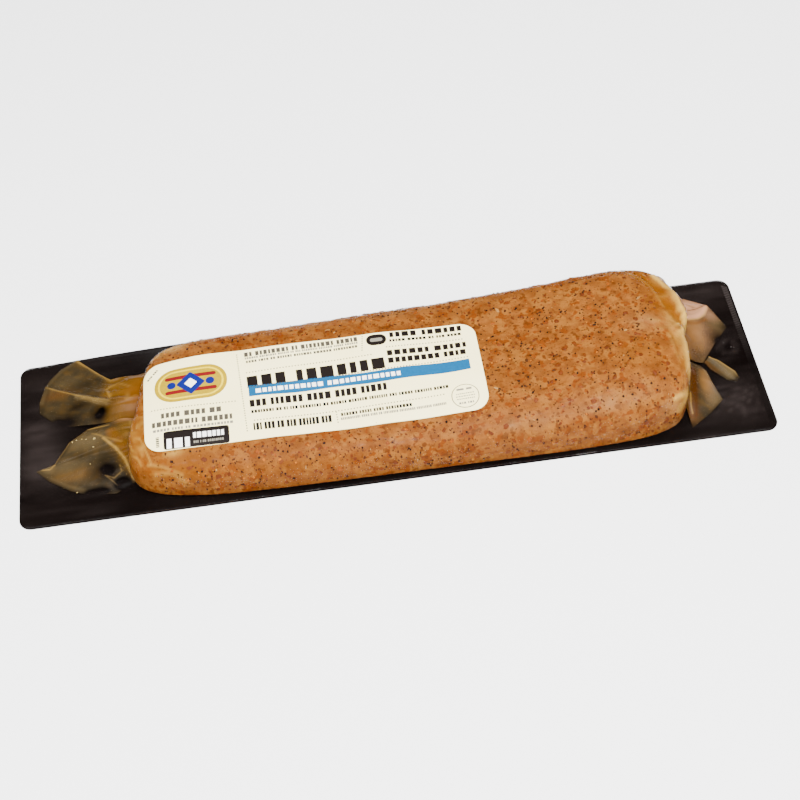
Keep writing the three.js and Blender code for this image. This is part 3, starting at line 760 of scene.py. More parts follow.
def unevenness(x, y):
    """Low waves of the meat's surface, and its humps."""
    low = sum(np.sin(x / long + y / wide + phase) * height for long, wide, phase, height in SURFACE_WAVES)
    return low + sum(height * blob(x, y, at, radii) for height, at, radii in HUMPS)


def end_shifts(y):
    right = LEAN[1] * y + sum(out * np.exp(-(((y - at) / radius) ** 2)) for at, radius, out in END_BULGES)
    return LEAN[0] * y, right


def place_along(t, y):
    left, right = end_shifts(y)
    return FILLET_CENTRE + t * FILLET_LENGTH / 2 + mix(left, right, (t + 1) / 2)


def share_along(x, y):
    left, right = end_shifts(y)
    return (x - FILLET_CENTRE - (left + right) / 2) / (FILLET_LENGTH / 2 + (right - left) / 2)


def section_at(t):
    """Near and far half width, height, power and rise of the fillet's section at a share of its length."""
    end = (np.asarray(t) >= 0).astype(int)
    towards = (t + 1) / 2
    rise = superellipse(t, RISE_POWER[end])
    near = mix(*NEAR_HALF_WIDTH, towards) * superellipse(t, NEAR_PLAN_POWER[end])
    far = mix(*FAR_HALF_WIDTH, towards) * superellipse(t, FAR_PLAN_POWER[end])
    height = mix(*THICKNESS, smoothstep(t, 0, 1)) * rise
    return near, far, height, mix(*SECTION_POWER, towards), rise


def fillet_top(x, y):
    near, far, height, power, rise = section_at(share_along(x, y))
    share = superellipse(y / np.where(y < 0, near, far), power)
    return BOARD_THICKNESS + CLEARANCE + height * share + unevenness(x, y) * share**2 * rise


def fillet_rings(step):
    """Rings of points round the fillet, how far round each point is, and how far up its section."""
    rises = np.arange(*END_RISES, step / THICKNESS[0])
    left, right = (superellipse(rises, power) for power in RISE_POWER)
    middle = np.linspace(-left[-1], right[-1], round(FILLET_LENGTH / step))[1:-1]
    angles = np.linspace(0, math.pi, RING_ANGLES)
    over = round(2 * (NEAR_HALF_WIDTH[1] + THICKNESS[1]) / step)
    under = np.linspace(0, math.pi, RING_UNDER + 1)[1:-1]
    rings, rounds, shares = [], [], []
    for t in np.concatenate([-left, middle, right[::-1]]):
        near, far, height, power, rise = (float(value) for value in section_at(t))
        corner = min(UNDER_CORNER, height / 4)
        across = np.sign(np.cos(angles)) * np.abs(np.cos(angles)) ** (2 / power)
        share = np.abs(np.sin(angles)) ** (2 / power)
        y = across * np.where(across < 0, near, far)
        reach = np.append(0, np.cumsum(np.hypot(np.diff(y), np.diff(height * share))))
        even = np.linspace(0, reach[-1], over)
        y, share = np.interp(even, reach, y), np.interp(even, reach, share)
        x = place_along(t, y)
        z = np.maximum(corner, height * share + unevenness(x, y) * share**2 * rise)
        back = -np.cos(under)
        y_back = np.where(back < 0, back * near + corner, back * far - corner)
        x_back = place_along(t, y_back)
        x, y = np.append(x, x_back), np.append(y, y_back)
        z = BOARD_THICKNESS + CLEARANCE + np.append(z, np.zeros(len(under)))
        z = np.maximum(z, board_top(x, y) + CLEARANCE)
        rings.append(np.stack([x, y, z], -1))
        rounds.append(np.append(even - reach[-1] / 2, np.full(len(under), reach[-1] / 2)))
        shares.append(np.append(share, np.zeros(len(under))))
    return np.array(rings), np.array(rounds), np.array(shares)


def outward(points):
    """The outward direction at each point of rings that close."""
    along = np.gradient(points, axis=0)
    around = np.roll(points, -1, 1) - np.roll(points, 1, 1)
    normal = np.cross(around, along)
    return normal / np.maximum(np.linalg.norm(normal, axis=2, keepdims=True), 1e-9)


def ring_solid(points):
    """Points and faces of a closed surface made of rings, with a fan over each end."""
    columns, rows = points.shape[:2]
    faces = [face[::-1] for face in grid_faces(columns, rows, wrap_rows=True)]
    left, right = columns * rows, columns * rows + 1
    last = (columns - 1) * rows
    for k in range(rows):
        after = (k + 1) % rows
        faces += [[left, after, k], [right, last + k, last + after]]
    tips = [points[0].mean(0), points[-1].mean(0)]
    return np.concatenate([points.reshape(-1, 3), tips]), faces


def label_place(u, v):
    """A place on the label, from its own two directions to the board's."""
    turn = math.radians(LABEL_TURN)
    x = LABEL_CENTRE[0] + u * math.cos(turn) - v * math.sin(turn)
    return x, LABEL_CENTRE[1] + u * math.sin(turn) + v * math.cos(turn)


def on_label(x, y, margin):
    """True where the label lies, or where its edge is closer than the margin."""
    turn = math.radians(LABEL_TURN)
    dx, dy = x - LABEL_CENTRE[0], y - LABEL_CENTRE[1]
    u, v = dx * math.cos(turn) + dy * math.sin(turn), dy * math.cos(turn) - dx * math.sin(turn)
    return (np.abs(u) < LABEL_LENGTH / 2 + margin) & (np.abs(v) < LABEL_WIDTH / 2 + margin)


# Materials


class Paint:
    """The nodes of one material, made a line at a time."""

    def __init__(self, name):
        self.material = bpy.data.materials.new(name)
        self.material.use_nodes = True
        self.tree = self.material.node_tree
        self.tree.nodes.clear()
        self.place = self.tree.nodes.new("ShaderNodeTexCoord").outputs["Object"]

    def node(self, kind, inputs, **settings):
        made = self.tree.nodes.new("ShaderNode" + kind)
        for key, value in settings.items():
            setattr(made, key, value)
        for key, value in inputs.items():
            if isinstance(value, bpy.types.NodeSocket):
                self.tree.links.new(value, made.inputs[key])
            else:
                made.inputs[key].default_value = value
        return made

    def noise(self, size, detail, stretch=(1, 1, 1), shift=0.0):
        scale = tuple(1 / s for s in stretch)
        moved = self.node("Mapping", {"Vector": self.place, "Scale": scale, "Location": (shift, 0, 0)})
        inputs = {"Vector": moved.outputs[0], "Scale": 1 / (size * MM), "Detail": detail}
        return self.node("TexNoise", inputs).outputs[0]

    def value(self, name):
        return self.node("Attribute", {}, attribute_name=name).outputs["Fac"]

    def ramp(self, factor, *stops):
        made = self.node("ValToRGB", {"Fac": factor})
        elements = made.color_ramp.elements
        while len(elements) < len(stops):
            elements.new(0.5)
        for element, (at, colour) in zip(elements, stops):
            element.position = at
            element.color = (*colour, 1)
        return made.outputs[0]

    def cloud(self, name):
        """The colours of that name, by place in their noise."""
        noise, stops = CLOUDS[name]
        return self.ramp(self.noise(*noise), *stops)

    def spread(self, factor, low, high, to_low, to_high):
        inputs = {"Value": factor, "From Min": low, "From Max": high, "To Min": to_low, "To Max": to_high}
        return self.node("MapRange", inputs).outputs[0]

    def patches(self, noise, levels):
        """A noise, spread over a range of levels."""
        return self.spread(self.noise(*noise), *levels)

    def blend(self, factor, a, b, kind="MIX"):
        colours = [(*c, 1) if isinstance(c, tuple) else c for c in (a, b)]
        inputs = {0: factor, 6: colours[0], 7: colours[1]}
        return self.node("Mix", inputs, data_type="RGBA", blend_type=kind).outputs[2]

    def tinted(self, colour, tints):
        """A colour blended towards each tint by the value of its name that the points carry."""
        for name, tint in tints.items():
            colour = self.blend(self.value(name), colour, tint)
        return colour

    def mottled(self, colour, name):
        """A colour that noise makes darker and lighter."""
        return self.blend(1.0, colour, self.patches(*MOTTLES[name]), "MULTIPLY")

    def bump(self, name):
        noise, depth = BUMPS[name]
        inputs = {"Height": self.noise(*noise), "Distance": depth * MM, "Strength": 1.0}
        return self.node("Bump", inputs).outputs[0]

    def plastic(self, colour, finish, bump=None):
        roughness, specular = FINISHES[finish]
        inputs = {"Base Color": colour, "Roughness": roughness, "Specular IOR Level": specular}
        if bump is not None:
            inputs["Normal"] = bump
        return self.node("BsdfPrincipled", inputs).outputs[0]

    def clear(self, roughness, index, bump, glints):
        """Clear film: its shine alone, over what lies behind it. It is shinier where glints is high."""
        gloss = self.node("BsdfGlossy", {"Color": (1, 1, 1, 1), "Roughness": roughness, "Normal": bump})
        shine = self.node("Fresnel", {"IOR": index, "Normal": bump}).outputs[0]
        shine = self.node("Math", {0: shine, 1: glints}, operation="MULTIPLY").outputs[0]
        behind = self.node("BsdfTransparent", {})
        both = self.node("MixShader", {0: shine, 1: behind.outputs[0], 2: gloss.outputs[0]})
        return both.outputs[0]

    def finish(self, shader):
        self.node("OutputMaterial", {"Surface": shader})
        return self.material


def meat_paint():
    paint = Paint("seasoned_meat")
    colour = paint.cloud("meat")
    for noise, levels, patch in MEAT_PATCHES:
        colour = paint.blend(paint.patches(noise, levels), colour, patch)
    colour = paint.tinted(paint.mottled(colour, "fibres"), MEAT_TINTS)
    return paint.finish(paint.plastic(colour, "meat", paint.bump("meat")))


def flake_paint(name, colours):
    """Bits of one spice, each with its own shade, which its points carry."""
    paint = Paint(name)
    stops = [((k + 0.5) / len(colours), colour) for k, colour in enumerate(colours)]
    colour = paint.mottled(paint.ramp(paint.value("shade"), *stops), "grain")
    return paint.finish(paint.plastic(colour, "spice"))


def clear_film_paint(name):
    """Thin film with low gloss, and streaks that shine."""
    paint = Paint(name)
    index, roughness, brightest = CLEAR_FILMS[name]
    noise, levels = CLEAR_STREAKS
    glints = paint.patches(noise, (*levels, brightest))
    return paint.finish(paint.clear(roughness, index, paint.bump(name), glints))


def folded_film_paint():
    """Many layers of film: amber where deep, painted cream highlight along its creases, and clear where it
    lies thin.
    """
    paint = Paint("folded_film")
    streaks = paint.spread(paint.value("streak"), *FILM_STREAKS)
    cloud = paint.patches(*FILM_CLOUD)
    tone = paint.node("Math", {0: paint.value("dense"), 1: cloud}, operation="ADD").outputs[0]
    tone = paint.node("Math", {0: tone, 1: streaks}, operation="ADD").outputs[0]
    colour = paint.tinted(paint.ramp(tone, *FILM_COLOURS), FILM_TINTS)
    bump = paint.bump("folded_film")
    sheet = paint.plastic(colour, "folded_film", bump)
    shine = paint.spread(paint.value("streak"), *FOLDED_CLEAR["shine"])
    clear = paint.clear(FOLDED_CLEAR["roughness"], FOLDED_CLEAR["index"], bump, shine)
    both = paint.node("MixShader", {0: paint.value("clear"), 1: sheet, 2: clear}).outputs[0]
    return paint.finish(both)


def board_paint():
    paint = Paint("black_board")
    # The board's colour, lightened by painted sheen where its points carry grey
    colour = paint.tinted(paint.cloud("board"), BOARD_SHEEN_TINTS)
    return paint.finish(paint.plastic(colour, "board", paint.bump("board")))


def rib_paint():
    paint = Paint("sealed_ribs")
    return paint.finish(paint.plastic(paint.ramp(paint.value("tone"), *RIB_SHEEN_COLOURS), "board"))


def paper_paint():
    paint = Paint("label_paper")
    return paint.finish(paint.plastic(paint.cloud("paper"), "paper", paint.bump("paper")))


def ink_paint(name):
    paint = Paint(name + "_ink")
    return paint.finish(paint.plastic(paint.mottled(INKS[name], "wear"), "ink"))


def cloudy_paint(name, cloud, finish):
    """A smooth material in the colours of its cloud."""
    paint = Paint(name)
    return paint.finish(paint.plastic(paint.cloud(cloud), finish))


# Camera, light and floor


def make_camera():
    azimuth, elevation = math.radians(CAMERA_AZIMUTH), math.radians(CAMERA_ELEVATION)
    level = math.cos(elevation)
    back = Vector((math.sin(azimuth) * level, -math.cos(azimuth) * level, math.sin(elevation)))
    right = Vector((math.cos(azimuth), math.sin(azimuth), 0))
    turned = Matrix((right, back.cross(right), back)).transposed()
    data = bpy.data.cameras.new("camera")
    data.sensor_width = CAMERA_SENSOR
    data.lens = CAMERA_LENS
    data.clip_start, data.clip_end = CAMERA_CLIP
    camera = bpy.data.objects.new("camera", data)
    rolled = turned @ Matrix.Rotation(math.radians(CAMERA_ROLL), 3, "Z")
    camera.matrix_world = Matrix.Translation(Vector(CAMERA_PLACE) * MM) @ rolled.to_4x4()
    bpy.context.scene.collection.objects.link(camera)
    bpy.context.scene.camera = camera


def make_light():
    world = bpy.data.worlds.new("studio")
    world.use_nodes = True
    background = world.node_tree.nodes["Background"]
    background.inputs["Color"].default_value = (*WORLD_COLOUR, 1)
    background.inputs["Strength"].default_value = WORLD_STRENGTH
    bpy.context.scene.world = world
    for box in SOFTBOXES:
        data = bpy.data.lights.new("softbox_" + box["name"], "AREA")
        data.size = box["size"] * MM
        data.energy = box["power"]
        light = bpy.data.objects.new(data.name, data)
        light.location = Vector(box["place"]) * MM
        light.rotation_euler = (-light.location).to_track_quat("-Z", "Y").to_euler()
        bpy.context.scene.collection.objects.link(light)


def make_floor():
    half = FLOOR_SIZE / 2
    corners = [(-half, -half), (half, -half), (half, half), (-half, half)]
    mesh = bpy.data.meshes.new("floor")
    mesh.from_pydata([(x * MM, y * MM, -FLOOR_DROP * MM) for x, y in corners], [], [[0, 1, 2, 3]])
    mesh.materials.append(cloudy_paint("pale_floor", "floor", "floor"))
    floor = bpy.data.objects.new("floor", mesh)
    bpy.context.scene.collection.objects.link(floor)


# Board


def make_board():
    x, y = rounded_grid(BOARD_LENGTH, BOARD_WIDTH, BOARD_CORNER, BOARD_STEP)
    low = np.stack([x, y, curl(x, y)], -1)
    high = np.stack([x, y, board_top(x, y)], -1)
    # grey is painted sheen of the film: in patches, along the swirl, in streaks at the ends and round the
    # bubble, and left off the bubble itself
    grey = np.clip(sum(blob(x, y, *area) for area in GREY_SHEEN_AREAS), 0, 1)
    grey = grey * (GREY_SHEEN["areas"] + relief("grey_sheen_cloud", x, y))
    grey = grey + np.maximum(0, swirl(x, y)) ** 2 * GREY_SHEEN["swirl"]
    grey = grey + np.maximum(0, relief("grey_sheen_streaks", x, y)) * smoothstep(np.abs(x), *GREY_SHEEN["streaks_from"])
    grey = mix(grey, 0, blob(x, y, BUBBLE["at"], GREY_SHEEN["bubble_radii"])) + GREY_SHEEN["rim"] * bubble_rim(x, y)
    values = {"grey": np.tile(np.clip(grey, 0, 1).ravel(), 2)}
    piece("board", *slab(low, high), board_paint(), "board", ["backing_board"], smooth=False, **values)


def swirl(x, y):
    """Curved wrinkles on the right of the board, from -1 to 1."""
    away = np.hypot(x - SWIRL["at"][0], y - SWIRL["at"][1]) + relief("swirl", x, y)
    return np.sin(away * 2 * math.pi / SWIRL["spacing"]) * blob(x, y, SWIRL["middle"], SWIRL["reach"])


def bubble_rim(x, y):
    """The uneven rim of a bubble under the film, from 0 to 1."""
    radius = BUBBLE["radius"] * (1 + relief("bubble", x, y))
    away = np.hypot(x - BUBBLE["at"][0], y - BUBBLE["at"][1]) - radius
    return np.exp(-((away / BUBBLE["width"]) ** 2))


def base_relief(x, y):
    """Wrinkles of the clear film that lies on the board."""
    streaks = BASE_FILM["mean"] + relief("board_film", x, y)
    return streaks + swirl(x, y) * SWIRL["height"] + bubble_rim(x, y) * BUBBLE["height"]


def make_base_film():
    inset = 2 * BASE_FILM["inset"]
    size = (BOARD_LENGTH - inset, BOARD_WIDTH - inset, BOARD_CORNER - inset / 2)
    x, y = rounded_grid(*size, BASE_FILM["step"])
    low = np.stack([x, y, board_top(x, y) + BASE_FILM["gap"]], -1)
    edge = smoothstep(np.minimum(size[0] / 2 - np.abs(x), size[1] / 2 - np.abs(y)), 0, BASE_FILM["edge"])
    ends = smoothstep(np.abs(x), *BASE_FILM["wrinkles_from"])
    rise = mix(BASE_FILM["thickness"], np.maximum(base_relief(x, y), BASE_FILM["least"]), edge * ends)
    high = low + np.stack([0 * x, 0 * x, rise], -1)
    piece("film_on_board", *slab(low, high), clear_film_paint("board_film"), "film")
    specks("bubble_glints", BUBBLE_GLINTS, high)
    bars = []
    for k in range(int((SEAL_RIBS["to"] - SEAL_RIBS["from"]) / SEAL_RIBS["pitch"])):
        start = SEAL_RIBS["from"] + k * SEAL_RIBS["pitch"]
        along = np.linspace(0, 1, SEAL_RIBS["columns"])[:, None]
        y = start - SEAL_RIBS["slant"] * along + SEAL_RIBS["width"] * np.array([[0, 1]])
        x = np.broadcast_to(mix(*SEAL_RIBS["x"], along), y.shape)
        base = board_top(x, y) + BASE_FILM["gap"]
        bars.append(slab(np.stack([x, y, base], -1), np.stack([x, y, base + SEAL_RIBS["height"]], -1)))
    points, faces = together(bars)
    y = points[:, 1]
    # tone is the ribs' painted sheen, lighter towards the far side
    tone = smoothstep(y + relief("rib_sheen", y, 0 * y), *SEAL_RIBS["sheen_range"])
    piece("sealed_ribs", points, faces, rib_paint(), "film", smooth=False, tone=tone)


# Fillet


def fold_relief(x, y):
    """Height of the film's folds, how much painted cream highlight they carry, and how amber they are."""
    height, cream_highlight, amber = np.zeros(x.shape), np.zeros(x.shape), np.zeros(x.shape)
    for rise, pale_glare, deep, width, line in FILLET_FOLDS:
        near = band(x, y, line, width)
        height += rise * near
        cream_highlight = np.maximum(cream_highlight, pale_glare * near)
        amber = np.maximum(amber, deep * near)
    cream_highlight = strongest(x, y, CREAM_HIGHLIGHT_AREAS, cream_highlight)
    amber = strongest(x, y, AMBER_AREAS, amber)
    ends = smoothstep(-x, *CRUMPLE["left"]) + smoothstep(x, *CRUMPLE["right"])
    crumple = facets(x, y, CRUMPLE["size"], CRUMPLE["seed"]) * ends
    # Raised facets get painted highlight, hollow ones amber as painted shade
    cream_highlight = np.maximum(cream_highlight, CRUMPLE["cream_highlight"] * crumple)
    amber = np.maximum(amber, CRUMPLE["amber"] * crumple)
    return height + CRUMPLE["height"] * crumple, cream_highlight * (1 - CRUMPLE["mellow"] * amber), amber


def make_fillet():
    rings, around, share = fillet_rings(FILLET_STEP)
    x, y, z = np.moveaxis(rings, -1, 0)
    free = smoothstep(share, 0, SIDE_SHARE) * np.where(on_label(x, y, LABEL_MARGIN), MEAT_UNDER_LABEL, 1)
    folds, cream_highlight, amber = fold_relief(x, y)
    above = smoothstep(z, *FOLDS_FROM)
    shown = rings + outward(rings) * ((relief("meat", x, around) + folds * above) * free)[..., None]
    # Painted glare of the film, in pale patches
    pale_glare = strongest(x, y, PALE_GLARE_AREAS) * (PALE_GLARE["mean"] + PALE_GLARE["cloud"] * relief("pale_glare_cloud", x, around))
    values = {"cream_highlight": cream_highlight * above, "amber": amber * above, "pale_glare": np.clip(pale_glare, 0, PALE_GLARE["most"])}
    values = {key: np.append(numbers.ravel(), [0, 0]) for key, numbers in values.items()}
    piece("meat", *ring_solid(shown), meat_paint(), "meat", ["wrapped_fillet"], **values)
    for kind in SEASONING:
        scatter(kind, shown, share)
    rings, around, share = fillet_rings(SKIN_STEP)
    x, y, z = np.moveaxis(rings, -1, 0)
    under_label = on_label(x, y, LABEL_MARGIN)
    free = smoothstep(share, 0, SIDE_SHARE) * np.where(under_label, SKIN["under_label"], 1)
    gap = np.where(under_label, SKIN["gap_under_label"], SKIN["gap"])
    tight = relief("meat", x, around) * SKIN["follows"] + fold_relief(x, y)[0] * smoothstep(z, *FOLDS_FROM)
    tight += relief("skin", x, around)
    skin = rings + outward(rings) * (gap + tight * free)[..., None]
    piece("film_skin", *ring_solid(skin), clear_film_paint("clear_film"), "film")


def bits(spots, ups, lengths, shape, rise, random):
    """Rough little lumps that lie on given spots."""
    bit = bmesh.new()
    bmesh.ops.create_icosphere(bit, subdivisions=1, radius=0.5)
    base = np.array([vertex.co for vertex in bit.verts])
    triangles = np.array([[vertex.index for vertex in face.verts] for face in bit.faces])
    bit.free()
    total = len(spots)
    turn = random.random(total) * 2 * math.pi
    side = np.cross(ups, np.stack([np.sin(turn), -np.cos(turn), np.zeros(total)], -1))
    side /= np.maximum(np.linalg.norm(side, axis=1, keepdims=True), 1e-9)
    other = np.cross(ups, side)
    rough = base[None] * random.uniform(*BIT_ROUGHNESS, (total, len(base), 1))
    width, thickness = shape
    slim = random.uniform(*BIT_SLIMNESS, total)
    points = spots[:, None] + ups[:, None] * (rise * lengths * thickness)[:, None, None]
    points = points + rough[..., :1] * (side * lengths[:, None])[:, None]
    points = points + rough[..., 1:2] * (other * (lengths * width * slim)[:, None])[:, None]
    points = points + rough[..., 2:] * (ups * (lengths * thickness)[:, None])[:, None]
    faces = (triangles[None] + (np.arange(total) * len(base))[:, None, None]).reshape(-1, 3).tolist()
    return points, faces, len(base)


def scatter(kind, surface, share):
    """Bits of one spice, half sunk in the meat, at seeded places that leave the label free."""
    random = np.random.default_rng(kind["seed"])
    normals = outward(surface)
    count = kind["count"] * TRIES
    i = random.integers(RINGS_FREE, surface.shape[0] - RINGS_FREE, count)
    j = random.integers(0, surface.shape[1], count)
    spot, up = surface[i, j], normals[i, j]
    x, y, z = spot.T
    thick = CLUMP_MEAN + relief("clumps", x, y + z) + relief("own_clumps", x, y + z, kind["seed"])
    wanted = random.random(count) < mix(1, smoothstep(thick, *CLUMP_RANGE), kind["clump"])
    last = SEASONED["to"] + SEASONED["lean"] * np.abs(y - SEASONED["about"])
    on_meat = (x > SEASONED["from"]) & (x < last) & (share[i, j] > SEASONED["lowest"])
    keep = wanted & on_meat & ~on_label(x, y, -SEASONED["under_label"])
    chosen = np.nonzero(keep)[0][: kind["count"]]
    lengths = mix(*kind["length"], random.random(len(chosen)) ** SHORT_POWER)
    points, faces, each = bits(spot[chosen], up[chosen], lengths, kind["shape"], kind["rise"], random)
    shade = np.repeat(random.random(len(chosen)), each)
    paint = flake_paint(kind["name"], kind["colours"])
    piece(kind["name"], points, faces, paint, "meat", smooth=False, shade=shade)


# Label


def label_top(u, v, above=0.0):
    x, y = label_place(u, v)
    return np.stack([x, y, fillet_top(x, y) + CLEARANCE + LABEL_THICKNESS + above], -1)


def make_label():
    u, v = rounded_grid(LABEL_LENGTH, LABEL_WIDTH, LABEL_CORNER, LABEL_STEP)
    side = smoothstep(np.abs(v), LABEL_WAVE["from"], LABEL_WIDTH / 2)
    inside = smoothstep(LABEL_LENGTH / 2 - np.abs(u), *LABEL_WAVE["ends"])
    wave = waves(u, np.sign(v) * LABEL_WAVE["apart"], LABEL_WAVE["size"], LABEL_WAVE["seed"])
    v = v + LABEL_WAVE["height"] * wave * side * inside
    high = label_top(u, v)
    low = high - [0, 0, LABEL_THICKNESS]
    piece("label", *slab(low, high), paper_paint(), "paper", ["paper_label"], smooth=False)


def printed(u, v, layer=0):
    """A thin patch of ink on the label, over a grid of places."""
    return slab(label_top(u, v, -PRINT_SINK), label_top(u, v, PRINT_RISE * (1 + layer)))


def block(start, end, height):
    """A plain upright block of ink round a line from start to end."""
    (u0, v0), (u1, v1) = start, end
    length = math.hypot(u1 - u0, v1 - v0)
    columns = 2 + int(length / PRINT_STEP)
    rows = 2 + int(height / PRINT_STEP)
    along = np.linspace(0, 1, columns)[:, None]
    across = (np.linspace(0, 1, rows)[None, :] - 0.5) * height
    u = mix(u0, u1, along) - (v1 - v0) / length * across
    return u, mix(v0, v1, along) + (u1 - u0) / length * across


def block_row(start, end, height, groups, random):
    """Blocks of uneven width in groups along a row."""
    widths, gaps = [], []
    for group in groups:
        widths += random.uniform(*BLOCK_WIDTHS, group).tolist()
        gaps += [BLOCK_GAP] * (group - 1) + [GROUP_GAP]
    total = sum(widths) + sum(gaps[:-1])
    start, end = np.array(start, float), np.array(end, float)
    at = 0
    for width, gap in zip(widths, gaps):
        first, last = mix(start, end, at / total), mix(start, end, (at + width) / total)
        yield block(first, last, height)
        at += width + gap


def make_print():
    random = np.random.default_rng(PRINT_SEED)
    inked = {name: [] for name in INKS}
    band_share = np.linspace(0, 1, BLUE_BAND["columns"])[:, None]
    u = np.linspace(BLUE_BAND["from"], BLUE_BAND["to"], BLUE_BAND["columns"])[:, None]
    across = np.linspace(0, 1, BLUE_BAND["rows"])[None, :]
    near_wave = np.sin(u / BLUE_BAND["near_wave"])
    far_wave = np.sin(u / BLUE_BAND["far_wave"] + BLUE_BAND["far_shift"])
    near = mix(*BLUE_BAND["near"], band_share) + BLUE_BAND["wave"] * near_wave
    far = mix(*BLUE_BAND["far"], band_share) + BLUE_BAND["wave"] * far_wave
    inked["blue"].append(printed(u + 0 * across, mix(near, far, across)))
    for ink, start, end, height, groups in BLOCK_ROWS:
        for u, v in block_row(start, end, height, groups, random):
            inked[ink].append(printed(u, v, 1 if ink in RAISED_INKS else 0))
    for start, end in DOTTED_LINES:
        start, end = np.array(start, float), np.array(end, float)
        length = np.hypot(*(end - start))
        along = (end - start) / length
        for at in np.arange(0, length, DOT_PITCH):
            first = start + along * at
            inked["grey"].append(printed(*block(first, first + along * DOT_SIZE, DOT_SIZE)))
    for ink, solids in inked.items():
        if solids:
            piece("print_" + ink, *together(solids), ink_paint(ink), "paper", smooth=False)
    for name, ink, middle, size, corner, turn, layer in SHAPES:
        along, across = rounded_grid(*size, corner, SHAPE_STEP)
        angle = math.radians(turn)
        u = middle[0] + along * math.cos(angle) - across * math.sin(angle)
        v = middle[1] + along * math.sin(angle) + across * math.cos(angle)
        paint = paper_paint() if ink == "paper" else ink_paint(ink)
        piece("print_" + name, *printed(u, v, layer), paint, "paper", smooth=False)


# Film ears


def tints(x, y, shape, clear, dense):
    """How much painted cream highlight the film has at each place, and how amber, dense and so on it is."""
    values = {key: np.zeros(x.shape) for key in EAR_TINTS}
    values["clear"] = clear
    values["dense"] = dense
    for key, strength, width, line in shape["lines"]:
        values[key] = np.maximum(values[key], strength * band(x, y, line, width))
    for key, strength, at, radii in shape["areas"]:
        values[key] = np.maximum(values[key], strength * blob(x, y, at, radii))
    solid = np.maximum(values["cream_highlight"], values["amber"] * AMBER_HIDES)
    noise = relief("ear_clear", x, y, shape["seed"])
    values["clear"] = np.clip((values["clear"] + noise) * (1 - solid), 0, 1)
    return values


def film_ear(name, shape, paint):
    folds = shape["folds"]
    across = (len(folds) - 1) * EAR_BETWEEN
    column = np.linspace(0, len(folds) - 1, across + 1)[:, None]
    row = (np.arange(EAR_IN + EAR_OUT + 1)[None, :] - EAR_IN) / EAR_OUT
    starts, crests, lifts = (np.array([fold[k] for fold in folds], float) for k in (0, 2, 3))
    tips = np.array([fold[1] for fold in folds], float)
    steps = np.arange(len(folds))
    share = np.interp(column, steps, starts)
    sag = 1 - shape["sag"] * np.sin((column % 1) * math.pi)
    crest = np.interp(column, steps, crests) * sag
    lift = np.interp(column, steps, lifts)
    end = np.where(share < 0.5, *shape["ends"])
    waist = 1 - (1 - end) * (2 * share - 1) ** EAR_POWER
    (root_from, root_to, root_height), (neck_from, neck_to, neck_height) = shape["root"], shape["neck"]
    out, back = np.maximum(row, 0), np.maximum(-row, 0) * EAR_OUT / EAR_IN
    place = []
    for axis in (0, 1):
        on_neck = mix(neck_from[axis], neck_to[axis], share)
        on_root = mix(root_from[axis], root_to[axis], share)
        tip = np.interp(column, steps, tips[:, axis])
        place.append(np.where(row < 0, mix(on_neck, on_root, back), mix(on_neck, tip, out)))
    x, y = place
    fall = neck_height * waist * (1 - out) ** NECK_FALL + crest * (1 - out) ** CREST_FALL
    lost = CREST_LOST[0] * smoothstep(back, 0, CREST_LOST[1])
    rise = mix(neck_height, root_height, back) * waist + crest * (1 - lost)
    height = EAR_FILM + np.where(row < 0, rise, fall + lift * out)
    seed = shape["seed"]
    inwards = (1 - out) ** EAR_POWER
    fan = share + EAR_FAN["bend"] * np.sin(row * EAR_FAN["along"] + share * EAR_FAN["across"])
    pleats = waves(fan * shape["pleats"], row * EAR_PLEATS["along"], 1, seed)
    pleats = pleats * (EAR_PLEATS["least"] + shape["depth"] * inwards)
    crumple = facets(x, y, EAR_FACETS["size"], seed + EAR_FACETS["seed"])
    crumple = relief("ear", x, y, seed) + crumple * mix(*EAR_FACETS["height"], inwards)
    height = np.maximum(height + (pleats + crumple) * smoothstep(height, *EAR_LOOSE), EAR_LOWEST)
    clear = EAR_CLEAR["least"] + EAR_CLEAR["tips"] * smoothstep(out, EAR_CLEAR["from"], 1)
    dense = mix(EAR_DENSE["neck"], EAR_DENSE["out"], smoothstep(out, 0, EAR_DENSE["by"]))
    values = tints(x, y, shape, clear + 0 * x, dense + 0 * x)
    across, along = share * EAR_STREAKS["across"], row * EAR_STREAKS["along"] + 0 * share
    values["streak"] = waves(across, along, 1, seed + EAR_STREAKS["seed"])
    return film_sheet(name, x, y, height, paint, values)


def film_sheet(name, x, y, height, paint, values):
    """A sheet of folded film at some height over the board, in place of a solid. Returns its upper side."""
    high = np.stack([x, y, board_top(x, y) + CLEARANCE + height], -1)
    low = high - [0, 0, EAR_SHEET]
    values = {key: np.tile(numbers.ravel(), 2) for key, numbers in values.items()}
    piece(name.replace("film", "folded_film"), *slab(low, high), paint, "film", [name], **values)
    return high


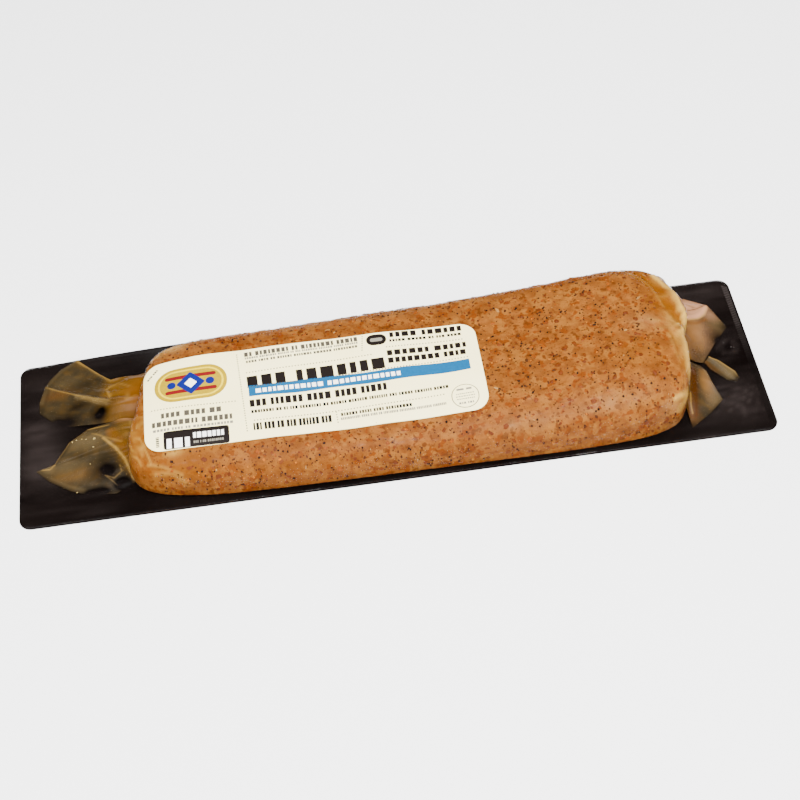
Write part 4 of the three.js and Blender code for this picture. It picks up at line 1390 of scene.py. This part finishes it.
def film_strip(paint):
    columns, rows = STRIP["grid"]
    along = np.linspace(0, 1, columns)[:, None]
    over = np.linspace(0, 1, rows)[None, :]
    (from_x, from_y), (to_x, to_y) = STRIP["from"], STRIP["to"]
    dx, dy = to_x - from_x, to_y - from_y
    length = math.hypot(dx, dy)
    taper = mix(1, STRIP_TAPER["width"], smoothstep(along, STRIP_TAPER["from"], 1))
    start_width, start_length = STRIP_TAPER["start"]
    taper = taper * mix(start_width, 1, smoothstep(along, 0, start_length))
    side = (over - 0.5) * STRIP["width"] * taper
    x = from_x + dx * along - dy / length * side
    y = from_y + dy * along + dx / length * side
    height = mix(*STRIP["height"], over) * mix(1, STRIP_TAPER["height"], along)
    wave = np.sin(over * STRIP_WAVE["over"] + along * STRIP_WAVE["along"])
    height = height + STRIP_WAVE["height"] * wave * (1 - along * STRIP_WAVE["fade"])
    flat = 0 * along * over
    streak_along, streak_over = along * STRIP_STREAKS["along"] + flat, over * STRIP_STREAKS["over"] + flat
    tip = smoothstep(along, *STRIP_CLEAR["along"])
    edge = 1 - smoothstep(over, *STRIP_CLEAR["over"])
    by_start = 1 - smoothstep(along, *STRIP_AMBER["along"])
    olive_from = STRIP_OLIVE["share"] * over + STRIP_OLIVE["share"] * along
    cream_highlight_fade = 1 - STRIP_CREAM_HIGHLIGHT["fade"] * along
    values = {
        "cream_highlight": STRIP_CREAM_HIGHLIGHT["most"] * smoothstep(over, *STRIP_CREAM_HIGHLIGHT["over"]) * cream_highlight_fade,
        "dense": mix(*STRIP_DENSE, over),
        "amber": STRIP_AMBER["most"] * (1 - smoothstep(over, *STRIP_AMBER["over"])) * by_start,
        "clear": STRIP_CLEAR["least"] + STRIP_CLEAR["tip"] * tip + STRIP_CLEAR["edge"] * edge,
        "pink": 0,
        "deep": 0,
        "olive": STRIP_OLIVE["most"] * smoothstep(olive_from, *STRIP_OLIVE["range"]),
        "streak": waves(streak_along, streak_over, 1, STRIP_STREAKS["seed"]),
    }
    values = {key: np.clip(flat + numbers, -1, STRIP_MOST) for key, numbers in values.items()}
    film_sheet("film_strip_right", x, y, height, paint, values)


def specks(name, places, surface):
    """Small bright bits set on a surface of film; those on the board's bubble are painted glints."""
    random = np.random.default_rng(SPECK_SEED)
    surface = surface.reshape(-1, 3)
    spots = []
    for x, y, _ in places:
        closest = np.argmin(np.hypot(surface[:, 0] - x, surface[:, 1] - y))
        spots.append((x, y, surface[closest, 2]))
    ups = np.tile([0.0, 0.0, 1.0], (len(spots), 1))
    lengths = np.array([place[2] for place in places], float)
    points, faces, _ = bits(np.array(spots), ups, lengths, SPECK_SHAPE, SPECK_RISE, random)
    piece(name, points, faces, cloudy_paint(name, name, "specks"), "film", smooth=False)


make_camera()
make_light()
make_floor()
make_board()
make_base_film()
make_fillet()
make_label()
make_print()
folded_film = folded_film_paint()
for ear_name, ear_shape in EARS.items():
    ear_surface = film_ear(ear_name, ear_shape, folded_film)
    if ear_name == "film_ear_left_near":
        specks("film_specks", SPECKS, ear_surface)
film_strip(folded_film)

bpy.context.view_layer.update()
